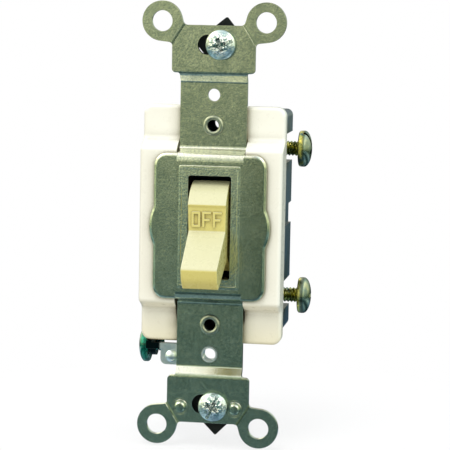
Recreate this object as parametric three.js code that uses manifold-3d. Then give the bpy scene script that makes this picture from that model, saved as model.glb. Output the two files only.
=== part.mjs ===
// A toggle wall switch of the North American device size, in millimetres.
// X points right, Z points up and the toggle points towards -Y. Rest is OFF, with the toggle down.
// Depths below are measured from the wall plane, the rear face of the mounting strap's ears. The
// finished switch is then moved so that its origin is the middle of the base's rear face.

import * as THREE from "three";
import { mergeVertices } from "three/addons/utils/BufferGeometryUtils.js";
import Module from "manifold-3d";

// ---- driving dimensions -------------------------------------------------------------------------

const CURVE_STEPS = 4; // half the segments in each arc of an outline
const ROUND_STEPS = 24; // sides of a full circle

const SHEET = 1.3; // strap and ground bracket thickness
const EAR_FRONT = -1.3; // front faces of the strap's three levels
const ARM_FRONT = 0.3;
const PLATE_FRONT = -3.7;
const EAR_SLOPE = [33.4, 35.5]; // where the arm rises to the ear, out from the middle
const PLATE_SLOPE = [16.7, 17.85]; // where the centre plate falls to the arm
const PLATE_FOLD = 0.98; // how far behind its front corners a steep bend has its rear corners
const ARM_HALF = 7.75;
const ARM_CORNER = 0.4;
const PLATE_HALF = [13.1, 16.9];
const PLATE_CORNER = 3.0;
const PLATE_BULGE = { half: 4.4, rise: 0.97 };
const EAR = { halfWidth: 9.6, inner: 35.2, shoulder: 42.0, top: 46.1, topHalf: 7.0 };
const RING = { x: 12.0, z: 46.9, radius: 4.6, hole: 2.4 };
const OPENING = { x: 4.98, z: 11.9, radius: 0.6 }; // toggle opening in the strap
const FRAME_BEAD = { x: 7.1, z: 14.2, width: 0.7, rise: 0.25, outer: 1.6, inner: 1.0 };
const SHEET_REACH = 20; // half the width of the sheet that the strap is cut from
const THROUGH = [-6, 6]; // depths that pass right through the strap and the cover's front

const DEVICE_SCREW_Z = 41.67; // half of 83.34, the box screws' spacing
const COVER_SCREW_Z = 30.16; // half of 60.32, the wall plate screws' spacing
const RIVET_Z = 23.15;
const SLOT = { length: 7.4, height: 4.6 };
const COVER_HOLE = 1.45;
const COLLAR_WALL = 0.42; // the ground bracket's staked collar round the lower cover screw
const COLLAR_HOLE = COVER_HOLE + 0.5;
const RIVET_HOLE = 1.9;
const EYELET = { bore: 1.35, roll: 1.6, shank: 1.8, rim: 2.35, stand: 0.5 };
const CLIP_RIVET = { x: 6.4, z: -42.5, head: 1.4, shank: 0.9 };

const COVER = { x: 16.55, z: 27.6, end: 1.6, front: -2.4, rear: 4.5, radius: 2.2 };
const COVER_STEP = [17.9, 20.0]; // where the raised middle falls to the end sections
const COVER_OPENING = { x: 5.15, z: 11.95 };
const CHANNEL = { side: 0.25, slope: 0.1 }; // room round the strap's arms where they fall away
const BEARING = { x: [5.1, 7.1], y: 0.05, z: 1.95 }; // seats for the toggle's trunnions
const HOLLOW = { x: [8.3, 14.6], y: 0, z: 16 };
const BASE = { x: 15.6, z: 26.2, rear: 23.0, radius: 1.5 };
const CAVITY = { left: -9.5, right: 12.6, z: 13.2, floor: 21.3 };
const WINDOW = { x: 12.8, z: [14.0, 20.9] }; // terminal windows in the right side
const NOTCH = { x: 3.2, z: 19.8, floor: 11.5 }; // rivet notches in the base's ends
const LEG_CHANNEL = { left: 11.6, right: 14.1, front: 11.0, z: 14.1 };
const BARRIER_NOTCH = { x: 15.0, y: 12.0, z: [-1, 4] };
const CORNER_NOTCH = { x: -14.8, y: 14.2, z: -25.0 }; // room for the ground bracket
const SHANK_BORE = { radius: 2.2, from: 6.5 };
const POST = { x: [5.4, 6.9], gap: 0.25, rear: 6.0, z: 1.7 }; // posts that close the bearings
const RIB = { front: 4.6, rear: 10.9 }; // webs between the posts and the walls

const PIVOT_Y = 2.0; // toggle pivot
const TOGGLE_TILT = 30.8; // down from level at OFF, up at ON
const TOGGLE_HALF = 4.4;
const TOGGLE_TAPER = { from: 5.3, root: 4.3, slope: 0.0116 }; // the handle narrows towards its tip
const DOME = { radius: 10.75, start: 61.3, end: 111, steps: 12 };
const TRUNNION = { radius: 1.8, reach: 6.8 };
const BOSS = { radius: 3.3, bore: 2.3, from: 3.0, to: 9.5 };
const PLUNGER = { radius: 2.0, nose: 1.2, from: 8.3, shoulder: 10.0, tip: 11.8 };
const SPRING = { radius: 1.72, wire: 0.28, from: 3.6, to: 7.9, turns: 4.5 };

const ROCKER_Y = 16.2; // rocker pivot
const ROCKER_TILT = 8.0; // each side of level
const ROCKER_HALF = 3.0;
const SADDLE = { y: 6.9, radius: 7.25, half: 5.5, end: 7.0, rear: 15.0 };
const ARM_SPRING = { y: [15.3, 16.3], z: [-12.0, 7.0] };
const CONTACT = { z: -10.0, radius: 1.8, moving: [16.6, 17.4], fixed: [19.3, 20.1] };

const TERMINAL = {
  x: [12.9, 14.0],
  y: [9.2, 18.8],
  z: [14.15, 20.75],
  leg: [12.5, 21.2],
  foot: [20.1, 21.2],
};
const TERMINAL_SCREW = { y: 14.0, z: 17.4, upper: 18.4, lower: 18.95, radius: 4.25, height: 2.95 };
const THREAD = 1.75; // radius of a 6-32 machine screw
const TERMINAL_SHANK = 7.9;

const GROUND_SCREW = { x: -15.65, y: 9.0, z: -29.8, radius: 4.25, height: 2.5, shank: 1.6 };
const GROUND_SHANK = 3.25;
const HEAD = { dome: 0.55, foot: 0.2 }; // share of a head's height that is domed; its foot's chamfer
const RECESS = { half: 0.45, slot: 0.82, slotDeep: 1.0, cross: 0.5, crossDeep: 1.2 };
const SHANK_POINT = { length: 0.6, narrower: 0.5 };
const GROUND_FLANGE = { x: [-15.3, -14.0], y: [1.6, 12.6], bottom: -32.4, top: -27.75 };
const GROUND_CROWN = { y: [4.7, 11.6], top: -26.4 };
const GROUND_TAB = { x: [-11.8, 3.6], z: [-33.2, -28.2], strip: -29.6 };
const GROUND_DIMPLE = { x: -9.2, y: 2.5, z: -31.2, radius: 1.7 };

const MOUNTING_SCREW = { radius: 3.45, height: 2.3, length: 19.0, gap: 0.05 };
const UPPER_SCREW = [1.74, 41.67]; // the two screws sit where they last slid to in their slots
const LOWER_SCREW = [1.39, -42.0];
const RETAINER = { thickness: 1.2, hole: 1.86, gap: 0.9, corner: 0.4 };
const UPPER_RETAINER = { side: 9.4, turn: 51, middle: [0.18, -0.2] }; // turn in degrees
const LOWER_RETAINER = { side: 9.8, turn: 45, middle: [0.18, -0.46] }; // middle from its screw
const CLIP = { x: 8.2, z: [-45.0, -38.9], thickness: 0.4, window: [4.3, 2.1] };

const DEGREE = Math.PI / 180;

// ---- materials ----------------------------------------------------------------------------------

const finish = (color, roughness, metalness) =>
  new THREE.MeshStandardMaterial({ color, roughness, metalness });

const ZINC = finish(0xa3a68e, 0.42, 0.9);
const BRIGHT_ZINC = finish(0xc3c8cc, 0.3, 0.95);
const BRASS = finish(0xb59a4c, 0.35, 0.9);
const SILVER = finish(0xd6d6d2, 0.3, 0.95);
const GREEN = finish(0x1c5c46, 0.35, 0.3);
const OFF_WHITE = finish(0xefe8da, 0.35, 0.0);
const IVORY = finish(0xe3d8a0, 0.32, 0.0);
const SLATE = finish(0x20292f, 0.45, 0.0);
const NYLON = finish(0xe9e6dc, 0.5, 0.0);
const FIBRE = finish(0x23211f, 0.8, 0.0);
const SPRING_STEEL = finish(0xa9adb0, 0.3, 0.95);

// ---- solids -------------------------------------------------------------------------------------

const wasm = await Module();
wasm.setup();

// A closed three.js geometry as a manifold solid, turned right side out.
function solid(geometry) {
  const bare = geometry.index ? geometry.toNonIndexed() : geometry.clone();
  bare.deleteAttribute("normal");
  bare.deleteAttribute("uv");
  const merged = mergeVertices(bare, 1e-4);
  const corners = merged.attributes.position;
  const at = (i) => new THREE.Vector3().fromBufferAttribute(corners, i);
  const triangles = [];
  let volume = 0;
  for (let i = 0; i < merged.index.count; i += 3) {
    const [a, b, c] = [0, 1, 2].map((k) => merged.index.getX(i + k));
    if (a === b || b === c || c === a) continue;
    triangles.push([a, b, c]);
    volume += at(a).dot(at(b).cross(at(c)));
  }
  const outward = volume < 0 ? triangles.map(([a, b, c]) => [a, c, b]) : triangles;
  return new wasm.Manifold(
    new wasm.Mesh({
      numProp: 3,
      vertProperties: new Float32Array(corners.array),
      triVerts: new Uint32Array(outward.flat()),
    }),
  );
}

function geometryOf(body) {
  const mesh = body.getMesh();
  const geometry = new THREE.BufferGeometry();
  geometry.setAttribute("position", new THREE.BufferAttribute(mesh.vertProperties, 3));
  geometry.setIndex(new THREE.BufferAttribute(mesh.triVerts, 1));
  geometry.computeVertexNormals();
  return geometry;
}

function piece(name, body, material) {
  const mesh = new THREE.Mesh(geometryOf(body), material);
  mesh.name = name;
  return mesh;
}

// Two stations on the upper or lower half of an axis, in rising order.
const span = (up, a, b) => [up * a, up * b].sort((p, q) => p - q);

const joined = (bodies) => bodies.reduce((whole, body) => whole.add(body));
const cut = (body, tools) => tools.reduce((left, tool) => left.subtract(tool), body);

function outline(points) {
  const shape = new THREE.Shape();
  points.forEach(([x, z], i) => (i ? shape.lineTo(x, z) : shape.moveTo(x, z)));
  shape.closePath();
  return shape;
}

function extruded(shape, depth) {
  return new THREE.ExtrudeGeometry(shape, {
    depth,
    bevelEnabled: false,
    curveSegments: CURVE_STEPS,
  });
}

// An outline drawn in X and Z, made solid between two depths Y.
function slab(shape, front, rear) {
  return solid(extruded(shape, rear - front).rotateX(Math.PI / 2).translate(0, rear, 0));
}

// An outline drawn in Y and Z, made solid between two widths X.
function profile(points, left, right) {
  const turn = new THREE.Matrix4().makeBasis(
    new THREE.Vector3(0, 1, 0),
    new THREE.Vector3(0, 0, 1),
    new THREE.Vector3(1, 0, 0),
  );
  return solid(extruded(outline(points), right - left).applyMatrix4(turn).translate(left, 0, 0));
}

function box([x0, x1], [y0, y1], [z0, z1]) {
  const size = new THREE.BoxGeometry(x1 - x0, y1 - y0, z1 - z0);
  return solid(size.translate((x0 + x1) / 2, (y0 + y1) / 2, (z0 + z1) / 2));
}

// A cylinder along Y or X, between two stations on that axis.
function rodY(radius, x, z, y0, y1, sides = ROUND_STEPS) {
  const rod = new THREE.CylinderGeometry(radius, radius, y1 - y0, sides);
  return solid(rod.translate(x, (y0 + y1) / 2, z));
}

function rodX(radius, y, z, x0, x1, sides = ROUND_STEPS) {
  const rod = new THREE.CylinderGeometry(radius, radius, x1 - x0, sides);
  return solid(rod.rotateZ(Math.PI / 2).translate((x0 + x1) / 2, y, z));
}

// A turned piece: the profile lists [radius, station] and the stations run along +Y.
function turned(points, sides = ROUND_STEPS) {
  return new THREE.LatheGeometry(points.map(([r, y]) => new THREE.Vector2(r, y)), sides);
}

function roundedRect(halfX, halfZ, radius) {
  const shape = new THREE.Shape();
  shape.moveTo(halfX, -halfZ + radius);
  shape.absarc(halfX - radius, halfZ - radius, radius, 0, 90 * DEGREE);
  shape.absarc(-halfX + radius, halfZ - radius, radius, 90 * DEGREE, 180 * DEGREE);
  shape.absarc(-halfX + radius, -halfZ + radius, radius, 180 * DEGREE, 270 * DEGREE);
  shape.absarc(halfX - radius, -halfZ + radius, radius, 270 * DEGREE, 360 * DEGREE);
  return shape;
}

// ---- mounting strap -----------------------------------------------------------------------------

// The centre plate's outline: round corners, and sides that bow out beside the toggle.
function centrePlateShape() {
  const [halfX, halfZ] = PLATE_HALF;
  const { half, rise } = PLATE_BULGE;
  const corner = PLATE_CORNER;
  const bow = (half * half + rise * rise) / (2 * rise);
  const bowX = halfX + rise - bow;
  const sweep = Math.asin(half / bow);
  const shape = new THREE.Shape();
  shape.moveTo(halfX, -halfZ + corner);
  shape.absarc(bowX, 0, bow, -sweep, sweep);
  shape.absarc(halfX - corner, halfZ - corner, corner, 0, 90 * DEGREE);
  shape.absarc(-halfX + corner, halfZ - corner, corner, 90 * DEGREE, 180 * DEGREE);
  shape.absarc(-bowX, 0, bow, Math.PI - sweep, Math.PI + sweep);
  shape.absarc(-halfX + corner, -halfZ + corner, corner, 180 * DEGREE, 270 * DEGREE);
  shape.absarc(halfX - corner, -halfZ + corner, corner, 270 * DEGREE, 360 * DEGREE);
  return shape;
}

// The strap's side view: ears, arms and middle at three levels, joined by slopes.
function steppedSheet() {
  const far = RING.z + RING.radius + 1;
  const levels = (thickness, fold) => [
    [PLATE_FRONT + thickness, PLATE_SLOPE[0] - fold],
    [ARM_FRONT + thickness, PLATE_SLOPE[1] - fold],
    [ARM_FRONT + thickness, EAR_SLOPE[0]],
    [EAR_FRONT + thickness, EAR_SLOPE[1]],
    [EAR_FRONT + thickness, far],
  ];
  const below = (points) => [...points].reverse().map(([y, z]) => [y, -z]);
  const front = levels(0, 0);
  const rear = levels(SHEET, PLATE_FOLD);
  const side = [...below(front), ...front, ...[...rear].reverse(), ...[...below(rear)].reverse()];
  return profile(side, -SHEET_REACH, SHEET_REACH);
}

// One ear of the strap's outline: the screw plate and its two break-off rings.
function earSlabs(up) {
  const plate = outline([
    [-EAR.halfWidth, up * EAR.inner],
    [EAR.halfWidth, up * EAR.inner],
    [EAR.halfWidth, up * EAR.shoulder],
    [EAR.topHalf, up * EAR.top],
    [-EAR.topHalf, up * EAR.top],
    [-EAR.halfWidth, up * EAR.shoulder],
  ]);
  const slabs = [slab(plate, ...THROUGH)];
  for (const side of [-1, 1]) {
    const neck = outline([
      [side * EAR.topHalf * 0.9, up * (EAR.top - 1)],
      [side * EAR.topHalf, up * EAR.top],
      [side * (RING.x - 2.7), up * (RING.z + 3.7)],
      [side * (RING.x + 2.7), up * (RING.z - 3.7)],
      [side * EAR.halfWidth, up * EAR.shoulder],
    ]);
    slabs.push(rodY(RING.radius, side * RING.x, up * RING.z, ...THROUGH, 36));
    slabs.push(slab(neck, ...THROUGH));
  }
  return slabs;
}

function slotShape(z) {
  const radius = SLOT.height / 2;
  const reach = (SLOT.length - SLOT.height) / 2;
  const shape = new THREE.Shape();
  shape.moveTo(reach, z - radius);
  shape.absarc(reach, z, radius, -90 * DEGREE, 90 * DEGREE);
  shape.absarc(-reach, z, radius, 90 * DEGREE, 270 * DEGREE);
  return shape;
}

// The coined frame that stands round the toggle opening.
function openingBead() {
  const { x, z, width, rise, outer, inner } = FRAME_BEAD;
  const outside = slab(roundedRect(x, z, outer), PLATE_FRONT - rise, PLATE_FRONT + 0.2);
  return outside.subtract(slab(roundedRect(x - width, z - width, inner), ...THROUGH));
}

function strapHoles() {
  const holes = [slab(roundedRect(OPENING.x, OPENING.z, OPENING.radius), ...THROUGH)];
  for (const up of [-1, 1]) {
    const coverHole = up > 0 ? COVER_HOLE : COLLAR_HOLE;
    holes.push(slab(slotShape(up * DEVICE_SCREW_Z), ...THROUGH));
    holes.push(rodY(coverHole, 0, up * COVER_SCREW_Z, ...THROUGH));
    holes.push(rodY(RIVET_HOLE, 0, up * RIVET_Z, ...THROUGH));
    for (const side of [-1, 1]) {
      holes.push(rodY(RING.hole, side * RING.x, up * RING.z, ...THROUGH));
    }
  }
  for (const side of [-1, 1]) {
    holes.push(rodY(CLIP_RIVET.shank, side * CLIP_RIVET.x, CLIP_RIVET.z, ...THROUGH, 16));
  }
  return holes;
}

function mountingStrap() {
  const arms = slab(roundedRect(ARM_HALF, EAR.inner + 2, ARM_CORNER), ...THROUGH);
  const steps = steppedSheet().intersect(joined([arms, ...earSlabs(1), ...earSlabs(-1)]));
  const aboveSlope = [1, -1].map((up) =>
    box([-ARM_HALF, ARM_HALF], THROUGH, span(up, PLATE_SLOPE[0], PLATE_HALF[1] + 1)),
  );
  const plate = cut(slab(centrePlateShape(), PLATE_FRONT, PLATE_FRONT + SHEET), aboveSlope);
  return cut(joined([steps, plate, openingBead()]), strapHoles());
}

// ---- housing ------------------------------------------------------------------------------------

// The room that the cover leaves where one of the strap's arms falls away from the centre plate.
function armChannel(up) {
  const { front, end } = COVER;
  const half = ARM_HALF + CHANNEL.side;
  const behind = PLATE_FOLD + CHANNEL.slope;
  const side = [
    [front - 1, PLATE_SLOPE[0] - behind],
    [front, PLATE_SLOPE[0] - behind],
    [end, PLATE_SLOPE[1] - behind],
    [end, COVER_STEP[1] + 1],
    [front - 1, COVER_STEP[1] + 1],
  ];
  return profile(side.map(([y, z]) => [y, up * z]), -half, half);
}

function frontCover() {
  const { x, z, end, front, rear } = COVER;
  const section = [
    [rear, -z],
    [end, -z],
    [end, -COVER_STEP[1]],
    [front, -COVER_STEP[0]],
    [front, COVER_STEP[0]],
    [end, COVER_STEP[1]],
    [end, z],
    [rear, z],
  ];
  const block = slab(roundedRect(x, z, COVER.radius), front, rear);
  const shell = block.intersect(profile(section, -x, x));
  const openingX = [-COVER_OPENING.x, COVER_OPENING.x];
  const tools = [box(openingX, [front - 1, rear + 1], [-COVER_OPENING.z, COVER_OPENING.z])];
  for (const side of [-1, 1]) {
    tools.push(armChannel(side));
    tools.push(rodY(RIVET_HOLE, 0, side * RIVET_Z, front, rear + 1));
    tools.push(box(span(side, ...BEARING.x), [BEARING.y, rear + 1], [-BEARING.z, BEARING.z]));
    tools.push(box(span(side, ...HOLLOW.x), [HOLLOW.y, rear + 1], [-HOLLOW.z, HOLLOW.z]));
  }
  return cut(shell, tools);
}

// A post behind one of the toggle's trunnions, and the web that joins it to the cavity's wall.
function bearingPost(side, wall) {
  const front = PIVOT_Y + TRUNNION.radius + POST.gap;
  const height = [-POST.z, POST.z];
  const web = box(span(side, POST.x[0], wall), [RIB.front, RIB.rear], height);
  return web.add(box(span(side, ...POST.x), [front, POST.rear], height));
}

function rearBase() {
  const { x, z, rear } = BASE;
  const block = slab(roundedRect(x, z, BASE.radius), COVER.rear, rear);
  const { left, right, front, z: legZ } = LEG_CHANNEL;
  const tools = [
    box([CAVITY.left, CAVITY.right], [0, CAVITY.floor], [-CAVITY.z, CAVITY.z]),
    box([left, right], [front, CAVITY.floor], [-legZ, legZ]),
    box([BARRIER_NOTCH.x, x + 1], [BARRIER_NOTCH.y, rear + 1], BARRIER_NOTCH.z),
    box([-x - 1, CORNER_NOTCH.x], [0, CORNER_NOTCH.y], [-z - 1, CORNER_NOTCH.z]),
  ];
  for (const up of [-1, 1]) {
    const boreAxis = [TERMINAL_SCREW.y, up * TERMINAL_SCREW.z];
    tools.push(box([WINDOW.x, x + 1], [0, rear + 1], span(up, ...WINDOW.z)));
    tools.push(rodX(SHANK_BORE.radius, ...boreAxis, SHANK_BORE.from, WINDOW.x + 1));
    tools.push(box([-NOTCH.x, NOTCH.x], [NOTCH.floor, rear + 1], span(up, NOTCH.z, z + 1)));
    tools.push(rodY(RIVET_HOLE, 0, up * RIVET_Z, 0, rear));
  }
  const posts = [bearingPost(1, CAVITY.right + 0.2), bearingPost(-1, 0.2 - CAVITY.left)];
  return joined([cut(block, tools), ...posts]);
}

// A tubular rivet that holds the strap, cover and base together.
function eyelet(z) {
  const front = ARM_FRONT;
  const rear = NOTCH.floor;
  const { bore, roll, shank, rim, stand } = EYELET;
  const wall = [
    [bore, front - stand / 2],
    [roll, front - stand],
    [rim - 0.25, front - stand],
    [rim, front - stand / 2],
    [rim, front],
    [shank, front],
    [shank, rear],
    [rim, rear],
    [rim, rear + stand / 2],
    [rim - 0.3, rear + stand],
    [roll, rear + stand],
    [bore, rear + stand / 2],
    [bore, front - stand / 2],
  ];
  return solid(turned(wall).translate(0, 0, z));
}

// ---- current path -------------------------------------------------------------------------------

// A brass plate in a terminal window, with a leg along the wall and a foot on the cavity floor.
function terminal(up, legEnd, foot) {
  const [x0, x1] = TERMINAL.x;
  const plate = box([x0, x1], TERMINAL.y, span(up, ...TERMINAL.z));
  const leg = box([x0, x1], TERMINAL.leg, span(up, legEnd, TERMINAL.z[0] + 0.2));
  const base = box(foot.x, TERMINAL.foot, span(up, legEnd, foot.end));
  const holeAxis = [TERMINAL_SCREW.y, up * TERMINAL_SCREW.z];
  const hole = rodX(THREAD + 0.2, ...holeAxis, x0 - 1, x1 + 1);
  return cut(joined([plate, leg, base]), [hole]);
}

function commonTerminal() {
  const [x0, x1] = TERMINAL.x;
  const strip = terminal(1, 2.2, { x: [-4.0, x1], end: -2.0 });
  const ridge = profile(
    [
      [TERMINAL.foot[0] + 0.1, -1.0],
      [ROCKER_Y + 0.5, -0.5],
      [ROCKER_Y + 0.5, 0.5],
      [TERMINAL.foot[0] + 0.1, 1.0],
    ],
    -ROCKER_HALF,
    ROCKER_HALF,
  );
  return joined([strip, box([x0, x1], TERMINAL.leg, [-2.0, 2.4]), ridge]);
}

function fixedContactTerminal() {
  return terminal(-1, 8.6, { x: [-3.0, TERMINAL.x[1]], end: 11.6 });
}

// ---- rocker, drawn level with its pivot on the X axis --------------------------------------------

function rockerCradle() {
  const rim = SADDLE.y - ROCKER_Y + Math.sqrt(SADDLE.radius ** 2 - SADDLE.half ** 2);
  const depth = [rim, SADDLE.rear - ROCKER_Y];
  const block = box([-ROCKER_HALF, ROCKER_HALF], depth, [-SADDLE.end, SADDLE.end]);
  const hollow = rodX(SADDLE.radius, SADDLE.y - ROCKER_Y, 0, -5, 5, 60);
  return block.subtract(hollow);
}

const level = (pair) => pair.map((y) => y - ROCKER_Y);

function movingContactArm() {
  return box([-2.5, 2.5], level(ARM_SPRING.y), ARM_SPRING.z);
}

function movingContact() {
  return rodY(CONTACT.radius, 0, CONTACT.z, ...level(CONTACT.moving));
}

// ---- toggle, drawn level with its pivot on the X axis and its tip towards -Y ----------------------

// The toggle's side view in (out, up) from the pivot, upper half only.
function toggleHalfOutline() {
  const arc = [];
  for (let step = 0; step <= DOME.steps; step++) {
    const angle = (DOME.end + ((DOME.start - DOME.end) * step) / DOME.steps) * DEGREE;
    arc.push([DOME.radius * Math.cos(angle), DOME.radius * Math.sin(angle)]);
  }
  const stem = [
    [5.0, 8.87],
    [7.52, 3.77],
    [20.2, 2.95],
    [20.55, 2.6],
    [21.15, 0],
  ];
  return [[-3.0, BOSS.radius - 0.2], ...arc, ...stem];
}

function toggleLever() {
  const upper = toggleHalfOutline();
  const lower = upper.slice(0, -1).reverse().map(([out, up]) => [out, -up]);
  const side = [...upper, ...lower].map(([out, up]) => [-out, up]);
  const body = profile(side, -TOGGLE_HALF, TOGGLE_HALF);
  const stem = body.warp((vertex) => {
    const out = -vertex[1];
    const past = out - TOGGLE_TAPER.from;
    if (past > 0) vertex[0] *= (TOGGLE_TAPER.root - TOGGLE_TAPER.slope * past) / TOGGLE_HALF;
  });
  const boss = rodY(BOSS.radius, 0, 0, 0, BOSS.to);
  const trunnions = rodX(TRUNNION.radius, 0, 0, -TRUNNION.reach, TRUNNION.reach);
  return cut(joined([stem, boss, trunnions]), [rodY(BOSS.bore, 0, 0, BOSS.from, BOSS.to + 1)]);
}

class Helix extends THREE.Curve {
  getPoint(t) {
    const angle = t * SPRING.turns * 2 * Math.PI;
    const along = SPRING.from + (SPRING.to - SPRING.from) * t;
    return new THREE.Vector3(SPRING.radius * Math.cos(angle), along, SPRING.radius * Math.sin(angle));
  }
}

function toggleSpring() {
  const wire = new THREE.Shape().absarc(0, 0, SPRING.wire, 0, 2 * Math.PI);
  return solid(
    new THREE.ExtrudeGeometry(wire, {
      steps: 60,
      curveSegments: 3,
      bevelEnabled: false,
      extrudePath: new Helix(),
    }),
  );
}

function springPlunger() {
  const { radius, nose, from, shoulder, tip } = PLUNGER;
  const side = [
    [0, from],
    [radius, from],
    [radius, shoulder],
    [nose * 1.05, tip - nose - 0.2],
  ];
  for (let step = 0; step <= 5; step++) {
    const angle = (step / 5) * 90 * DEGREE;
    side.push([nose * Math.cos(angle), tip - nose + nose * Math.sin(angle)]);
  }
  side[side.length - 1][0] = 0;
  return solid(turned(side));
}

// ---- screws, drawn with the head's underside at Y = 0, the head towards -Y and the shank to +Y -----

function screw({ radius, height, shank, length }) {
  const { dome, foot } = HEAD;
  const head = [[0, -height]];
  for (let step = 1; step <= 5; step++) {
    const angle = (step / 5) * 90 * DEGREE;
    const rise = height * (1 - dome + dome * Math.cos(angle));
    head.push([radius * Math.sin(angle), -rise]);
  }
  head.push([radius, -foot], [radius - foot, 0], [0, 0]);
  const stem = [
    [0, -foot],
    [shank, -foot],
    [shank, length - SHANK_POINT.length],
    [shank - SHANK_POINT.narrower, length],
    [0, length],
  ];
  const { half, slot, slotDeep, cross, crossDeep } = RECESS;
  const tools = [
    box([-radius * slot, radius * slot], [-height - 1, slotDeep - height], [-half, half]),
    box([-half, half], [-height - 1, crossDeep - height], [-radius * cross, radius * cross]),
  ];
  return cut(joined([solid(turned(head)), solid(turned(stem))]), tools);
}

const terminalScrewBody = () => screw({ ...TERMINAL_SCREW, shank: THREAD, length: TERMINAL_SHANK });
const groundScrewBody = () => screw({ ...GROUND_SCREW, length: GROUND_SHANK });
const mountingScrewBody = () => screw({ ...MOUNTING_SCREW, shank: THREAD });

// ---- retainers, ground bracket and clip -----------------------------------------------------------

// A square washer that keeps a screw in its slot, turned in place and drawn about its middle.
function screwRetainer({ side, turn, middle: [x, z] }) {
  const { thickness, hole, corner } = RETAINER;
  const plate = slab(roundedRect(side / 2, side / 2, corner), 0, thickness).rotate([0, turn, 0]);
  return plate.subtract(rodY(hole, -x, -z, -1, thickness + 1));
}

// The ground bracket: a tab behind the strap, staked through it, and a flange for the ground screw.
function groundBracket() {
  const behind = [ARM_FRONT + SHEET, ARM_FRONT + 2 * SHEET];
  const [x0, x1] = GROUND_FLANGE.x;
  const { y, bottom, top } = GROUND_FLANGE;
  const tab = box(GROUND_TAB.x, behind, GROUND_TAB.z);
  const strip = box([x0, GROUND_TAB.x[0] + 1], behind, [GROUND_TAB.strip, GROUND_TAB.z[1]]);
  const axis = [GROUND_SCREW.y, GROUND_SCREW.z];
  const lobe = rodX(GROUND_SCREW.z - bottom, ...axis, x0, x1);
  const web = box([x0, x1], [y[0], GROUND_SCREW.y], [GROUND_TAB.strip, top]);
  const crown = box([x0, x1], GROUND_CROWN.y, [GROUND_SCREW.z, GROUND_CROWN.top]);
  const collarFront = ARM_FRONT - 0.15;
  const collar = rodY(COVER_HOLE + COLLAR_WALL, 0, -COVER_SCREW_Z, collarFront, behind[1]);
  const ball = new THREE.SphereGeometry(GROUND_DIMPLE.radius, 16, 10);
  const dimple = solid(ball.translate(GROUND_DIMPLE.x, GROUND_DIMPLE.y, GROUND_DIMPLE.z));
  const holes = [
    rodX(GROUND_SCREW.shank + 0.15, ...axis, x0 - 1, x1 + 1),
    rodY(COVER_HOLE, 0, -COVER_SCREW_Z, ...THROUGH),
  ];
  return cut(joined([tab, strip, web, lobe, crown, collar, dimple]), holes);
}

function selfGroundingClip() {
  const [z0, z1] = CLIP.z;
  const [windowX, windowZ] = CLIP.window;
  const window = [-DEVICE_SCREW_Z - windowZ, -DEVICE_SCREW_Z + windowZ];
  const holes = [box([-windowX, windowX], THROUGH, window)];
  for (const side of [-1, 1]) {
    holes.push(rodY(CLIP_RIVET.shank, side * CLIP_RIVET.x, CLIP_RIVET.z, ...THROUGH, 16));
  }
  return cut(box([-CLIP.x, CLIP.x], [0, CLIP.thickness], [z0, z1]), holes);
}

function clipRivet(side) {
  const { head, shank } = CLIP_RIVET;
  const tail = CLIP.thickness;
  const round = [
    [0, EAR_FRONT - 0.8],
    [head * 0.55, EAR_FRONT - 0.7],
    [head * 0.85, EAR_FRONT - 0.45],
    [head, EAR_FRONT],
    [shank - 0.04, EAR_FRONT],
    [shank - 0.04, tail],
    [shank + 0.3, tail],
    [shank + 0.1, tail + 0.2],
    [0, tail + 0.25],
  ];
  return solid(turned(round, 16).translate(side * CLIP_RIVET.x, 0, CLIP_RIVET.z));
}

// ---- assembly -----------------------------------------------------------------------------------

function group(children, { position = [0, 0, 0], rotation = [0, 0, 0] } = {}) {
  const made = new THREE.Group();
  made.position.set(...position);
  made.rotation.set(...rotation);
  made.add(...children);
  return made;
}

// A terminal or ground screw lies along X: its head faces outwards on the side given.
const screwFacing = (side) => [0, 0, side > 0 ? Math.PI / 2 : -Math.PI / 2];

function fixedParts() {
  return group([
    piece("mounting_strap", mountingStrap(), ZINC),
    piece("front_cover", frontCover(), OFF_WHITE),
    piece("rear_base", rearBase(), SLATE),
    piece("upper_rivet", eyelet(RIVET_Z), BRIGHT_ZINC),
    piece("lower_rivet", eyelet(-RIVET_Z), BRIGHT_ZINC),
    piece("common_terminal", commonTerminal(), BRASS),
    piece("fixed_contact_terminal", fixedContactTerminal(), BRASS),
    piece("fixed_contact", rodY(CONTACT.radius, 0, CONTACT.z, ...CONTACT.fixed), SILVER),
    piece("ground_bracket", groundBracket(), BRIGHT_ZINC),
    piece("self_grounding_clip", selfGroundingClip(), BRASS),
    piece("ground_clip_rivet_left", clipRivet(-1), ZINC),
    piece("ground_clip_rivet_right", clipRivet(1), ZINC),
  ]);
}

// The toggle and what rides in it, turned about the pivot to OFF: its tip drops.
function toggleParts() {
  return group(
    [
      piece("toggle_lever", toggleLever(), IVORY),
      piece("toggle_spring", toggleSpring(), SPRING_STEEL),
      piece("spring_plunger", springPlunger(), NYLON),
    ],
    { position: [0, PIVOT_Y, 0], rotation: [TOGGLE_TILT * DEGREE, 0, 0] },
  );
}

// The rocker, turned about its pivot so that the moving contact is lifted.
function rockerParts() {
  return group(
    [
      piece("rocker_cradle", rockerCradle(), NYLON),
      piece("moving_contact_arm", movingContactArm(), BRASS),
      piece("moving_contact", movingContact(), SILVER),
    ],
    { position: [0, ROCKER_Y, 0], rotation: [-ROCKER_TILT * DEGREE, 0, 0] },
  );
}

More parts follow.
